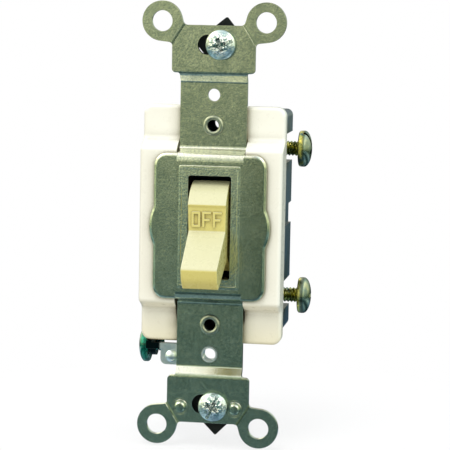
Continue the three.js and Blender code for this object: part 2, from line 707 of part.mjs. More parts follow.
function sideScrews() {
  const { y, z, upper, lower } = TERMINAL_SCREW;
  const facingRight = screwFacing(1);
  const ground = [GROUND_SCREW.x, GROUND_SCREW.y, GROUND_SCREW.z];
  return group([
    group([piece("upper_terminal_screw", terminalScrewBody(), BRASS)], {
      position: [upper, y, z],
      rotation: facingRight,
    }),
    group([piece("lower_terminal_screw", terminalScrewBody(), BRASS)], {
      position: [lower, y, -z],
      rotation: facingRight,
    }),
    group([piece("ground_screw", groundScrewBody(), GREEN)], {
      position: ground,
      rotation: screwFacing(-1),
    }),
  ]);
}

function captiveScrew(where, [x, z], retainer) {
  const seat = EAR_FRONT - MOUNTING_SCREW.gap;
  const [aside, above] = retainer.middle;
  return group([
    group([piece(`${where}_mounting_screw`, mountingScrewBody(), BRIGHT_ZINC)], {
      position: [x, seat, z],
      rotation: [0, retainer.turn * 0.6 * DEGREE, 0],
    }),
    group([piece(`${where}_screw_retainer`, screwRetainer(retainer), FIBRE)], {
      position: [x + aside, RETAINER.gap, z + above],
    }),
  ]);
}

const toggleSwitch = group(
  [
    fixedParts(),
    toggleParts(),
    rockerParts(),
    sideScrews(),
    captiveScrew("upper", UPPER_SCREW, UPPER_RETAINER),
    captiveScrew("lower", LOWER_SCREW, LOWER_RETAINER),
  ],
  { position: [0, -BASE.rear, 0] },
);

export default toggleSwitch;
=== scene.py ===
"""The finished looks of a toggle wall switch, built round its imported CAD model.

Pieces are drawn in millimetres from the wall plane, the rear face of the strap's ears: X right,
Y back, Z up. place() scales each one to metres and moves it into the model's own frame.
"""

import contextlib
import math

import bmesh
import bpy
from mathutils import Matrix, Vector


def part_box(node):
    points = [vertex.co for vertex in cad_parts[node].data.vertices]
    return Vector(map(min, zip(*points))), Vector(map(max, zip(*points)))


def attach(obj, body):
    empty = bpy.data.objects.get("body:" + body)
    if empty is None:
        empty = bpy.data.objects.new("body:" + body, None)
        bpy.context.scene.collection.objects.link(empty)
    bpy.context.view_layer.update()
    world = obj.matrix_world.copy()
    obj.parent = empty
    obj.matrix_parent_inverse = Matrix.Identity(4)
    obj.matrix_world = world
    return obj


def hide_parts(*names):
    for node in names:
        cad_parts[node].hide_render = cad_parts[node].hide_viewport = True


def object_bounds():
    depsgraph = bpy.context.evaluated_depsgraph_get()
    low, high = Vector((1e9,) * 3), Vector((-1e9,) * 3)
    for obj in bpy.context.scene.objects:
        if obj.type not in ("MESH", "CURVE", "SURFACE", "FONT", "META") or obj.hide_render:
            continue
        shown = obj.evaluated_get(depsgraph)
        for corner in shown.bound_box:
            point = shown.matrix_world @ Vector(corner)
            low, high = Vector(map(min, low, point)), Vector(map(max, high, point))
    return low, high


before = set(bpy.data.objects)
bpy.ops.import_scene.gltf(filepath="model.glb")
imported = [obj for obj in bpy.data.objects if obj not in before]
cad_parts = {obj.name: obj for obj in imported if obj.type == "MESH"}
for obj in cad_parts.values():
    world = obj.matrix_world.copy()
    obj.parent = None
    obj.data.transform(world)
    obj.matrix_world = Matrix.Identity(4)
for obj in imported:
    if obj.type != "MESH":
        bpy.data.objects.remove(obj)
cad_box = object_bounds()

MM = 0.001
DEG = math.pi / 180

# ---- sizes in millimetres, as in the CAD model ----

SHEET = 1.3
EAR_FRONT, ARM_FRONT, PLATE_FRONT = -1.3, 0.3, -3.7
EAR_SLOPE, PLATE_SLOPE = (33.35, 35.2), (16.2, 17.35)  # corners of the sheet's mid-line
ARM_BEND, EAR_BEND, PLATE_BEND = 1.3, 0.95, 1.5
ARM_HALF = 7.75
PLATE_HALF = (13.1, 16.9)
BULGE_HALF, BULGE_RISE = 4.4, 0.97
EAR_HALF, EAR_INNER, EAR_SHOULDER, EAR_TOP, EAR_TOP_HALF = 9.6, 35.2, 42.0, 46.1, 7.0
RING_X, RING_Z, RING_R, RING_HOLE = 12.0, 46.9, 4.6, 2.4
OPENING_HALF, OPENING_Z = 4.98, 11.9
BEAD_HALF, BEAD_Z, BEAD_WIDTH = 7.1, 14.2, 0.7

DEVICE_SCREW_Z, COVER_SCREW_Z, RIVET_Z = 41.67, 30.16, 23.15
SLOT_LENGTH, SLOT_HEIGHT = 7.4, 4.6
COVER_HOLE, RIVET_HOLE = 1.45, 1.9
THROUGH = (-8, 8)  # depths of a cutter that goes right through the strap or the cover
CLIP_RIVET_X, CLIP_RIVET_Z = 6.4, -42.5

COVER_X, COVER_Z = 16.55, 27.6
COVER_END, COVER_FRONT, COVER_REAR = 1.6, -2.4, 4.5
COVER_STEP = (17.9, 20.0)
BASE_X, BASE_Z, BASE_REAR = 15.6, 26.2, 23.0
WINDOW_X, WINDOW_Z = 12.8, (14.0, 20.9)
NOTCH_X, NOTCH_Z, NOTCH_FLOOR = 3.2, 19.8, 11.5

PIVOT_Y, TOGGLE_TILT, TOGGLE_HALF = 2.0, 30.8, 4.4
DOME_R, DOME_END = 10.75, 111
FLAT_HEAD, FLAT_FOOT = (5.0, 8.87), (7.52, 3.77)
BOSS_R, BOSS_BORE, BOSS_END = 3.3, 2.3, 9.5
PIN_R, PIN_HALF = 1.8, 6.8
STEM_START, STEM_END, STEM_HALF, STEM_TAPER = 5.3, 21.15, 4.3, 0.18

THREAD_R, THREAD_PITCH = 1.75, 0.794
BOX_HEAD, TERMINAL_HEAD, GROUND_HEAD = (3.45, 2.3), (4.25, 2.95), (4.25, 2.5)  # radius, height
TERMINAL_Y, TERMINAL_Z = 14.0, 17.4
GROUND_X, GROUND_Y, GROUND_Z = -15.65, 9.0, -29.8
FLANGE_X = (-15.3, -14.0)
UPPER_SCREW, LOWER_SCREW = (1.74, 41.67), (1.39, -42.0)

# The wall plane's place in the model's frame: the strap's arms reach one sheet behind their front.
WALL_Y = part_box("mounting_strap")[1].y - (ARM_FRONT + SHEET) * MM
TO_FRAME = Matrix.Translation((0, WALL_Y, 0)) @ Matrix.Scale(MM, 4)


# ---- outlines ----


def arc(cx, cz, radius, start, end, steps=10):
    """Points on an arc, angles in degrees, both ends included."""
    angles = [(start + (end - start) * i / steps) * DEG for i in range(steps + 1)]
    return [(cx + radius * math.cos(a), cz + radius * math.sin(a)) for a in angles]


def rounded(points, radius, steps=5, closed=True):
    """The outline with each corner rounded. A point may carry its own radius as a third value."""
    made = []
    count = len(points)
    for i, point in enumerate(points):
        here = Vector(point[:2])
        if not closed and i in (0, count - 1):
            made.append(tuple(here))
            continue
        before = Vector(points[i - 1][:2]) - here
        after = Vector(points[(i + 1) % count][:2]) - here
        turn = before.angle(after)
        size = point[2] if len(point) > 2 else radius
        if turn > 178 * DEG or size < 1e-6:
            made.append(tuple(here))
            continue
        reach = min(size / math.tan(turn / 2), 0.49 * before.length, 0.49 * after.length)
        size = reach * math.tan(turn / 2)
        middle = here + (before.normalized() + after.normalized()).normalized() * (
            size / math.sin(turn / 2)
        )
        first = here + before.normalized() * reach - middle
        sweep = first.angle_signed(here + after.normalized() * reach - middle)
        for k in range(steps + 1):
            made.append(tuple(middle + Matrix.Rotation(-sweep * k / steps, 2) @ first))
    return made


def round_rect(half_x, half_z, radius, cx=0, cz=0, steps=6):
    corners = [(half_x, -half_z), (half_x, half_z), (-half_x, half_z), (-half_x, -half_z)]
    return [(x + cx, z + cz) for x, z in rounded(corners, radius, steps)]


def tangent_angle(px, pz, side):
    """Angle, seen from a ring's centre, of the point where a line from (px, pz) touches it."""
    out = Vector((px - RING_X, pz - RING_Z))
    return math.degrees(math.atan2(out.y, out.x) + side * math.acos(RING_R / out.length))


# ---- solids ----


def new_object(name, bm):
    bmesh.ops.remove_doubles(bm, verts=bm.verts, dist=1e-5)
    bmesh.ops.recalc_face_normals(bm, faces=bm.faces)
    mesh = bpy.data.meshes.new(name)
    bm.to_mesh(mesh)
    bm.free()
    obj = bpy.data.objects.new(name, mesh)
    bpy.context.scene.collection.objects.link(obj)
    return obj


def lofted(rings, name):
    """A solid skin through rings of points, closed by a flat face at each end."""
    bm = bmesh.new()
    loops = [[bm.verts.new(point) for point in ring] for ring in rings]
    bm.faces.new(loops[0])
    bm.faces.new(loops[-1])
    for a, b in zip(loops, loops[1:]):
        for i in range(len(a)):
            j = (i + 1) % len(a)
            bm.faces.new((a[i], a[j], b[j], b[i]))
    return new_object(name, bm)


def prism(points, low, high, axis="Y"):
    """A closed outline made solid along an axis. It is drawn in the other two, in X, Y, Z order."""
    put = {
        "X": lambda a, b, c: (c, a, b),
        "Y": lambda a, b, c: (a, c, b),
        "Z": lambda a, b, c: (a, b, c),
    }[axis]
    return lofted([[put(a, b, end) for a, b in points] for end in (low, high)], "prism")


def block(x, y, z):
    corners = [(x[0], z[0]), (x[1], z[0]), (x[1], z[1]), (x[0], z[1])]
    return prism(corners, y[0], y[1])


def turned(profile, steps=48):
    """A profile of (radius, station) turned about the Y axis. It ends on the axis or closes on itself."""
    bm = bmesh.new()
    rings = []
    for radius, station in profile:
        if radius < 1e-6:
            rings.append([bm.verts.new((0, station, 0))])
            continue
        ring = []
        for k in range(steps):
            angle = 2 * math.pi * k / steps
            ring.append(bm.verts.new((radius * math.cos(angle), station, radius * math.sin(angle))))
        rings.append(ring)
    pairs = list(zip(rings, rings[1:]))
    if profile[0][0] > 1e-6:
        pairs.append((rings[-1], rings[0]))
    for a, b in pairs:
        for k in range(steps):
            m = (k + 1) % steps
            corners = [a[k % len(a)], a[m % len(a)], b[m % len(b)], b[k % len(b)]]
            unique = list(dict.fromkeys(corners))
            if len(unique) > 2:
                bm.faces.new(unique)
    return new_object("turned", bm)


def rod(radius, x, z, y0, y1, steps=40):
    return moved(turned([(0, y0), (radius, y0), (radius, y1), (0, y1)], steps), (x, 0, z))


def moved(obj, shift=(0, 0, 0), turn=None):
    """The object turned about the origin, then shifted, in its mesh."""
    obj.data.transform(Matrix.Translation(shift) @ (turn or Matrix.Identity(4)))
    return obj


def turn_about(axis, degrees):
    return Matrix.Rotation(degrees * DEG, 4, axis)


def baked(obj):
    """The object with its modifiers made part of its mesh."""
    bpy.context.view_layer.update()
    graph = bpy.context.evaluated_depsgraph_get()
    mesh = bpy.data.meshes.new_from_object(obj.evaluated_get(graph))
    obj.modifiers.clear()
    obj.data = mesh
    return obj


def combine(obj, tools, operation):
    for tool in tools:
        cutter = obj.modifiers.new("cut", "BOOLEAN")
        cutter.object = tool
        cutter.operation = operation
        cutter.solver = "EXACT"
        baked(obj)
        bpy.data.objects.remove(tool)
    return obj


def cut(obj, *tools):
    return combine(obj, tools, "DIFFERENCE")


def join(obj, *tools):
    return combine(obj, tools, "UNION")


def common(obj, *tools):
    return combine(obj, tools, "INTERSECT")


def bevel(obj, width, segments, angle):
    """Adds a bevel of the edges that turn by more than an angle in degrees."""
    edge = obj.modifiers.new("edge", "BEVEL")
    edge.width = width
    edge.segments = segments
    edge.limit_method = "ANGLE"
    edge.angle_limit = angle * DEG
    return edge


def bevelled(obj, width, segments=3, angle=35):
    edge = bevel(obj, width, segments, angle)
    edge.miter_outer = "MITER_ARC"
    edge.use_clamp_overlap = True
    return baked(obj)


@contextlib.contextmanager
def editing(obj):
    """Opens an object's mesh for work on its faces, and writes it back."""
    bm = bmesh.new()
    bm.from_mesh(obj.data)
    yield bm
    bm.to_mesh(obj.data)
    bm.free()


def round_edges(bm, edges, width):
    bmesh.ops.bevel(bm, geom=edges, offset=width, segments=5, profile=0.5, affect="EDGES")


def merged(name, *objects):
    """Several bodies of one piece as one object."""
    bm = bmesh.new()
    for obj in objects:
        bm.from_mesh(obj.data)
        bpy.data.objects.remove(obj)
    return new_object(name, bm)


def smooth(obj):
    """Smooth shading, with creases where the surface turns by more than 32 degrees."""
    mesh = obj.data
    mesh.shade_smooth()
    mesh.set_sharp_from_angle(angle=32 * DEG)
    weighted = obj.modifiers.new("normals", "WEIGHTED_NORMAL")
    weighted.keep_sharp = True
    weighted.weight = 60


def place(obj, body, material, node):
    """Moves a finished piece into the model's frame and makes it stand for its CAD node."""
    obj.name = obj.data.name = node + "_finished"
    obj.data.transform(TO_FRAME)
    smooth(obj)
    obj.data.materials.append(material)
    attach(obj, body)
    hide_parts(node)


# ---- materials ----


def opaque(colour):
    """A colour with its alpha, or a socket as it is."""
    return (*colour, 1) if isinstance(colour, tuple) and len(colour) == 3 else colour


class Nodes:
    """A node tree, with short calls for the nodes used here."""

    def __init__(self, tree):
        self.tree = tree

    def node(self, kind, **settings):
        made = self.tree.nodes.new(kind)
        for key, value in settings.items():
            setattr(made, key, value)
        return made

    def feed(self, socket, value):
        """Links a socket's value, or sets a plain one."""
        if hasattr(value, "is_linked"):
            self.tree.links.new(value, socket)
        else:
            socket.default_value = value

    def fill(self, node, **values):
        """Feeds a node's inputs by name, with _ in place of a space, and returns its outputs."""
        for key, value in values.items():
            self.feed(node.inputs[key.replace("_", " ")], value)
        return node.outputs

    def axes(self, vector):
        """A vector's parts, by the names X, Y and Z."""
        split = self.node("ShaderNodeSeparateXYZ")
        self.feed(split.inputs[0], vector)
        return split.outputs

    def ramp(self, value, stops):
        made = self.node("ShaderNodeValToRGB")
        self.feed(made.inputs[0], value)
        points = made.color_ramp.elements
        while len(points) < len(stops):
            points.new(0.5)
        for point, (where, colour) in zip(points, stops):
            point.position = where
            point.color = opaque(colour)
        return made.outputs[0]

    def level(self, value, low, high, to_low, to_high):
        """The value's place between low and high, as a number between to_low and to_high."""
        made = self.node("ShaderNodeMapRange")
        for socket, number in zip(made.inputs, (value, low, high, to_low, to_high)):
            self.feed(socket, number)
        return made.outputs[0]

    def mix(self, share, a, b, blend="MIX"):
        made = self.node("ShaderNodeMix", data_type="RGBA", blend_type=blend)
        self.feed(made.inputs["Factor"], share)
        self.feed(made.inputs[6], opaque(a))
        self.feed(made.inputs[7], opaque(b))
        return made.outputs[2]


class Shader(Nodes):
    """A material, with its patterns measured in millimetres on the object."""

    def __init__(self, name):
        self.material = bpy.data.materials.new(name)
        self.material.use_nodes = True
        super().__init__(self.material.node_tree)
        self.surface = self.tree.nodes["Principled BSDF"]
        self.shine = 1.0
        metres = self.node("ShaderNodeTexCoord").outputs["Object"]
        self.mm = self.vector("MULTIPLY", metres, [1 / MM] * 3)["Vector"]

    def vector(self, operation, a, b=(0, 0, 0)):
        made = self.node("ShaderNodeVectorMath", operation=operation)
        self.feed(made.inputs[0], a)
        self.feed(made.inputs[1], b)
        return made.outputs

    def math(self, operation, a, b=0.0):
        made = self.node("ShaderNodeMath", operation=operation)
        self.feed(made.inputs[0], a)
        self.feed(made.inputs[1], b)
        return made.outputs[0]

    def times(self, a, b):
        return self.math("MULTIPLY", a, b)

    def absolute(self, value):
        return self.math("ABSOLUTE", value)

    def noise(self, scale, detail=3.0, rough=0.55, stretch=(1, 1, 1)):
        """Noise whose scale is its number of lumps in a millimetre."""
        where = self.vector("MULTIPLY", self.mm, stretch)["Vector"]
        made = self.node("ShaderNodeTexNoise")
        return self.fill(made, Vector=where, Scale=scale, Detail=detail, Roughness=rough)["Fac"]

    def bump(self, height, distance_mm):
        made = self.node("ShaderNodeBump")
        return self.fill(made, Strength=1.0, Distance=distance_mm * MM, Height=height)["Normal"]

    def normal(self):
        return self.node("ShaderNodeNewGeometry").outputs["Normal"]

    def in_box(self, half_x, half_z, soft):
        """1 within an upright box round the middle, as seen from the front, and 0 outside it."""
        at = self.axes(self.mm)
        across = self.math("DIVIDE", self.absolute(at["X"]), half_x)
        upright = self.math("DIVIDE", self.absolute(at["Z"]), half_z)
        return self.level(self.math("MAXIMUM", across, upright), soft, 1.0, 1.0, 0.0)

    def worn_and_lit_edges(self, colour, share, bare):
        """Edges turned by the share towards bare: partly wear and partly a painted highlight."""
        round_off = self.fill(self.node("ShaderNodeBevel", samples=4), Radius=0.28 * MM)["Normal"]
        turn = self.vector("DOT_PRODUCT", round_off, self.normal())["Value"]
        edges = self.level(turn, 0.99, 0.86, 0.0, 1.0)
        # Edges lightened: partly wear, partly a painted highlight.
        return self.mix(self.times(edges, share), colour, bare)

    def painted_crevice_shade(self, colour, reach_mm=1.6, deep=(0.03, 0.06, 0.05), inner_shadow=0.0):
        """Painted shade: the colour turned towards deep in recesses, and by the last share
        to black far inside, where it also reflects less.
        """
        shade = self.node("ShaderNodeAmbientOcclusion", samples=6)
        open_share = self.fill(shade, Distance=reach_mm * MM)["AO"]
        # Painted shade from ambient occlusion in recesses.
        inside = self.level(open_share, 0.45, 0.9, 1.0, 0.0)
        tinted = self.mix(inside, colour, deep)
        if not inner_shadow:
            return tinted
        # Painted shadow far inside: near black, with less reflection.
        far_inside = self.level(open_share, 0.3, 0.72, inner_shadow, 0.0)
        self.shine = self.math("SUBTRACT", 1.0, far_inside)
        return self.mix(far_inside, tinted, (0.0, 0.004, 0.003))

    def end(self, colour, roughness, normal, metallic=0.0, **inputs):
        """Sets the surface. Where self.shine is low, it reflects less than its kind would."""
        self.fill(
            self.surface,
            Base_Color=colour,
            Roughness=roughness,
            Normal=normal,
            Metallic=self.times(self.shine, metallic),
            Specular_IOR_Level=self.times(self.shine, 0.5),
            **inputs,
        )
        return self.material


def plated(name, dark, light, edge_wear_and_light, roughness, grain, depth, recesses=(1.6,), battered=None):
    """Plated metal: cloudy colour, a fine grain, edges lightened partly as wear and partly as a
    painted highlight, and painted shade in recesses.

    Recesses holds what the crevice shade method takes, for painted shade. Battered is the place,
    in X and in Z to either side of the middle, and the reach of a patch where a tool has torn the
    plating.
    """
    s = Shader(name)
    clouds = s.noise(0.22, 5.0, 0.6)
    fine = s.noise(grain, 4.0, 0.7)
    speck = s.noise(grain * 0.45, 2.0, 0.5)
    colour = s.ramp(clouds, [(0.32, dark), (0.68, light)])
    shade = s.level(speck, 0.35, 0.65, 0.8, 1.12)
    tint = s.node("ShaderNodeCombineColor")
    for socket in tint.inputs:
        s.feed(socket, shade)
    colour = s.mix(0.85, colour, tint.outputs[0], "MULTIPLY")
    # Edges lightened: partly wear, partly a painted highlight.
    colour = s.worn_and_lit_edges(colour, 0.55, edge_wear_and_light)
    # Painted shade in recesses.
    colour = s.painted_crevice_shade(colour, *recesses)
    rough = s.level(fine, 0.3, 0.7, roughness - 0.07, roughness + 0.1)
    height = s.math("ADD", fine, s.times(speck, 0.8))
    if battered:
        x, z, reach = battered
        at = s.axes(s.mm)
        across = s.math("SUBTRACT", at["X"], x)
        upright = s.math("SUBTRACT", s.absolute(at["Z"]), z)
        squares = [s.times(side, side) for side in (across, upright)]
        near = s.level(s.math("SQRT", s.math("ADD", *squares)), 0.5 * reach, reach, 1.0, 0.0)
        tears = s.noise(1.5, 2.0, 0.5)
        torn = s.ramp(tears, [(0.42, (0.02, 0.14, 0.12)), (0.52, (1, 1, 1))])
        colour = s.mix(s.times(near, 0.85), colour, torn)
        height = s.math("ADD", height, s.times(s.times(tears, near), 9.0))
    return s.end(colour, rough, s.bump(height, depth), metallic=1.0)


def moulded(
    name,
    base,
    shade,
    roughness,
    coat,
    depth,
    grain=2.2,
    speckle=None,
    painted_lower_shade=None,
    under=None,
    deep=None,
    throat=None,
):
    """Moulded plastic: faint flow clouds, a soft orange-peel surface and edges lightened a little,
    partly as wear and partly as a painted highlight.

    The lower shade argument is two heights and the colour that the plastic is painted towards from
    the first to the second, as painted shade on its lower end. Under is its colour on faces that
    look level or down, as painted shade. Deep holds what the crevice shade method takes, for painted
    shade in recesses. Throat is half the width and half the height of an opening whose walls are
    painted near black as painted shade.
    """
    s = Shader(name)
    clouds = s.noise(0.12, 3.0, 0.5)
    fine = s.noise(grain, 3.0, 0.5)
    colour = s.ramp(clouds, [(0.3, shade), (0.7, base)])
    if speckle:
        dots = s.level(s.noise(6.0, 2.0, 0.4), 0.62, 0.72, 0.0, 0.5)
        colour = s.mix(dots, colour, speckle)
    # Painted shade: darker and warmer from the first height down to the second.
    if painted_lower_shade:
        start, end, tone = painted_lower_shade
        colour = s.mix(s.level(s.axes(s.mm)["Z"], start, end, 0.0, 0.85), colour, tone)
    # Painted shade on faces that look level or down.
    if under:
        low = s.level(s.axes(s.normal())["Z"], 0.35, -0.05, 0.0, 1.0)
        colour = s.mix(low, colour, under)
    # Painted shade in recesses.
    if deep:
        colour = s.painted_crevice_shade(colour, *deep)
    # Painted shade: the opening's walls go near black.
    if throat:
        colour = s.mix(s.in_box(*throat, 0.99), colour, (0.02, 0.022, 0.01))
    # Edges lightened: partly wear, partly a painted highlight.
    brighter = tuple(min(1.0, c * 1.12 + 0.01) for c in base)
    colour = s.worn_and_lit_edges(colour, 0.3, brighter)
    rough = s.level(s.noise(0.6, 4.0, 0.6), 0.3, 0.7, roughness - 0.05, roughness + 0.06)
    normal = s.bump(fine, depth)
    return s.end(colour, rough, normal, Coat_Weight=coat, Coat_Roughness=0.12)


def strap_material():
    """Olive zinc plate with a rolled grain and a lighter, pebbled coining round the opening.

    It is painted darker and bluer towards the lower end, and darker on the plate's right side, as
    painted shade. Its edges are lightened partly as wear and partly as a painted highlight, and
    faces that look up are painted cream as a painted highlight.
    """
    s = Shader("zinc_olive")
    at = s.axes(s.mm)
    clouds = s.noise(0.25, 5.0, 0.62)
    fine = s.noise(4.5, 4.0, 0.7)
    pits = s.noise(2.2, 2.0, 0.5)
    mottle = s.noise(2.4, 5.0, 0.8)
    colour = s.ramp(clouds, [(0.35, (0.54, 0.59, 0.46)), (0.65, (0.7, 0.73, 0.57))])
    specks = [(0.38, (0.6, 0.68, 0.7)), (0.5, (0.9, 0.9, 0.9)), (0.62, (1.2, 1.18, 1.1))]
    colour = s.mix(0.8, colour, s.ramp(mottle, specks), "MULTIPLY")
    coined = s.in_box(BEAD_HALF, BEAD_Z, 0.97)
    colour = s.mix(s.times(coined, 0.45), colour, (0.92, 0.94, 0.72))
    # Painted shade: darker and bluer towards the lower end.
    tone_drift = s.level(at["Z"], 14.0, -30.0, 0.0, 0.45)
    colour = s.mix(tone_drift, colour, (0.17, 0.28, 0.2))
    # Painted shade: darker on the plate's right side.
    on_plate = s.level(s.absolute(at["Z"]), 15.0, 17.0, 1.0, 0.0)
    painted_right_shade = s.times(on_plate, s.level(at["X"], 6.0, 12.0, 0.0, 0.35))
    colour = s.mix(painted_right_shade, colour, (0.16, 0.2, 0.1))
    # Edges lightened: partly wear, partly a painted highlight.
    colour = s.worn_and_lit_edges(colour, 0.5, (1.0, 1.0, 0.88))
    # Painted highlight: faces that look up turn bright cream.
    painted_top_light = s.level(s.axes(s.normal())["Z"], 0.3, 0.8, 0.0, 0.8)
    colour = s.mix(painted_top_light, colour, (1.0, 0.98, 0.88))
    rough = s.level(pits, 0.3, 0.7, 0.09, 0.19)
    pebbles = s.times(s.noise(2.1, 2.0, 0.5), s.times(coined, 2.0))
    height = s.math("ADD", s.math("ADD", fine, s.times(pits, 0.4)), pebbles)
    return s.end(colour, rough, s.bump(height, 0.026), metallic=1.0)


def enamel_material():
    """Dark green enamel, its edges lightened partly where the enamel is thin from wear and partly as
    a painted highlight.
    """
    s = Shader("green_enamel")
    clouds = s.noise(0.7, 4.0, 0.6)
    colour = s.ramp(clouds, [(0.35, (0.0, 0.045, 0.03)), (0.65, (0.0, 0.3, 0.19))])
    # Edges lightened: partly wear, partly a painted highlight.
    colour = s.worn_and_lit_edges(colour, 0.4, (0.2, 0.85, 0.65))
    rough = s.level(s.noise(2.0), 0.3, 0.7, 0.14, 0.26)
    normal = s.bump(s.noise(1.2), 0.12)
    return s.end(colour, rough, normal, metallic=0.85, Coat_Weight=0.8, Coat_Roughness=0.06)


def fibre_material():
    """Black vulcanised fibre with a drawn-out grain."""
    s = Shader("black_fibre")
    s.shine = 0.3
    strands = s.noise(1.6, 6.0, 0.7, (1, 3, 0.4))
    colour = s.ramp(strands, [(0.3, (0.004, 0.006, 0.006)), (0.7, (0.016, 0.02, 0.02))])
    return s.end(colour, s.level(strands, 0.3, 0.7, 0.65, 0.9), s.bump(strands, 0.05))


def brass_material():
    """Brass with a grey-green tarnish. Its edges turn bare yellow, partly as wear and partly as a
    painted highlight, and its recesses get painted shade. Screw domes are greyest.
    """
    s = Shader("filmed_brass")
    tone_drift = s.noise(0.42, 4.0, 0.6)
    fine = s.noise(7.0, 3.0, 0.6)
    tones = [(0.4, (0.05, 0.11, 0.11)), (0.5, (0.3, 0.32, 0.1)), (0.6, (0.75, 0.66, 0.14))]
    # Edges turn bare yellow: partly wear, partly a painted highlight.
    colour = s.worn_and_lit_edges(s.ramp(tone_drift, tones), 0.5, (1.0, 0.85, 0.3))
    dome = s.math("ADD", s.axes(s.mm)["X"], s.times(tone_drift, 2.0))
    colour = s.mix(s.level(dome, 20.4, 21.0, 0.0, 0.85), colour, (0.16, 0.22, 0.2))
    # Painted shade in recesses.
    colour = s.painted_crevice_shade(colour, 0.9, (0.12, 0.12, 0.03))
    rough = s.level(tone_drift, 0.35, 0.65, 0.24, 0.14)
    return s.end(colour, rough, s.bump(fine, 0.015), metallic=1.0)


def bracket_material():
    """Bright zinc on the bracket's tab, with edges lightened partly as wear and partly as a painted
    highlight. Left of the tab, the strip and the flange under the ground screw are painted near
    black as painted shadow.
    """
    s = Shader("bracket_zinc")
    clouds = s.noise(0.4, 4.0, 0.6)
    colour = s.ramp(clouds, [(0.35, (0.68, 0.78, 0.84)), (0.65, (0.94, 0.97, 0.96))])
    # Edges lightened: partly wear, partly a painted highlight.
    colour = s.worn_and_lit_edges(colour, 0.5, (1, 1, 0.95))
    # Painted shadow: left of the tab, the strip and flange go near black.
    flange = s.level(s.axes(s.mm)["X"], -12.2, -11.8, 1.0, 0.0)
    colour = s.mix(flange, colour, (0.004, 0.012, 0.014))
    rough = s.level(clouds, 0.3, 0.7, 0.3, 0.45)
    return s.end(colour, rough, s.bump(s.noise(5.0), 0.02), metallic=1.0)


STRAP = strap_material()
ZINC = plated(
    "bright_zinc",
    dark=(0.36, 0.5, 0.52),
    light=(0.82, 0.88, 0.84),
    # Edge colour: partly wear, partly a painted highlight.
    edge_wear_and_light=(1, 1, 1),
    roughness=0.17,
    grain=2.4,
    depth=0.1,
    # Painted shade in recesses.
    recesses=(1.3, (0.25, 0.35, 0.33)),
    battered=(1.55, 41.8, 2.9),
)
EYELET = plated(
    "dull_zinc",
    dark=(0.36, 0.4, 0.3),
    light=(0.56, 0.58, 0.44),
    # Edge colour: partly wear, partly a painted highlight.
    edge_wear_and_light=(0.9, 0.9, 0.7),
    roughness=0.34,
    grain=6.0,
    depth=0.02,
    # Painted shade in recesses, near black deep in the bore as painted shadow.
    recesses=(6.0, (0.0, 0.02, 0.025), 1.0),
)
BRASS = brass_material()
SILVER = plated(
    "silver_alloy",
    dark=(0.6, 0.6, 0.58),
    light=(0.85, 0.85, 0.82),
    # Edge colour: partly wear, partly a painted highlight; recesses get the default painted shade.
    edge_wear_and_light=(1, 1, 1),
    roughness=0.3,
    grain=6.0,
    depth=0.015,
)
TAB = bracket_material()
WIRE = plated(
    "spring_wire",
    dark=(0.45, 0.46, 0.48),
    light=(0.7, 0.71, 0.72),
    # Edge colour: partly wear, partly a painted highlight; recesses get the default painted shade.
    edge_wear_and_light=(1, 1, 1),
    roughness=0.28,
    grain=8.0,
    depth=0.01,
)
WHITE = moulded(
    "cover_white",
    base=(0.905, 0.89, 0.81),
    shade=(0.87, 0.855, 0.765),
    roughness=0.3,
    coat=0.35,
    depth=0.008,
    # Painted shade: the lower end darker and warmer.
    painted_lower_shade=(-20.0, -30.0, (0.78, 0.71, 0.47)),
    # Painted shade in recesses.
    deep=(3.0, (0.2, 0.17, 0.09)),
    # Painted shade: the toggle opening's walls near black.
    throat=(5.3, 12.1),
)
IVORY = moulded(
    "toggle_ivory",
    base=(0.66, 0.64, 0.4),
    shade=(0.65, 0.63, 0.39),
    roughness=0.28,
    coat=0.4,
    depth=0.008,
    # Painted shade on faces that look level or down.
    under=(0.7, 0.62, 0.2),
    # Painted shade in recesses, round the raised letters too.
    deep=(0.9, (0.3, 0.22, 0.04)),
)
SLATE = moulded(
    "base_slate",
    base=(0.013, 0.05, 0.12),
    shade=(0.004, 0.018, 0.045),
    roughness=0.36,
    coat=0.3,
    depth=0.02,
    grain=0.7,
    speckle=(0.03, 0.06, 0.11),
    # Painted shade in recesses.
    deep=(5.0, (0.002, 0.006, 0.01)),
)
NYLON = moulded(
    "nylon",
    base=(0.78, 0.76, 0.68),
    shade=(0.72, 0.7, 0.62),
    roughness=0.45,
    coat=0.1,
    depth=0.01,
)
GREEN = enamel_material()
FIBRE = fibre_material()


# ---- mounting strap ----


def strap_outline():
    """The strap without its centre plate: arms, screw plates and rings, counter-clockwise."""
    start = tangent_angle(EAR_HALF, EAR_SHOULDER, 1)
    end = tangent_angle(EAR_TOP_HALF, EAR_TOP, -1) + 360
    ring = arc(RING_X, RING_Z, RING_R, start, end, 44)
    quarter = [
        (ARM_HALF, 10.0, 0),
        (ARM_HALF, EAR_INNER, 0.5),
        (EAR_HALF, EAR_INNER, 1.3),
        (EAR_HALF, EAR_SHOULDER, 0.9),
        *[(x, z, 0) for x, z in ring],
        (EAR_TOP_HALF, EAR_TOP, 1.1),
    ]
    top = quarter + [(-x, z, r) for x, z, r in reversed(quarter)]
    bottom = [(-x, -z, r) for x, z, r in top]
    return rounded(top + bottom, 0, 5)


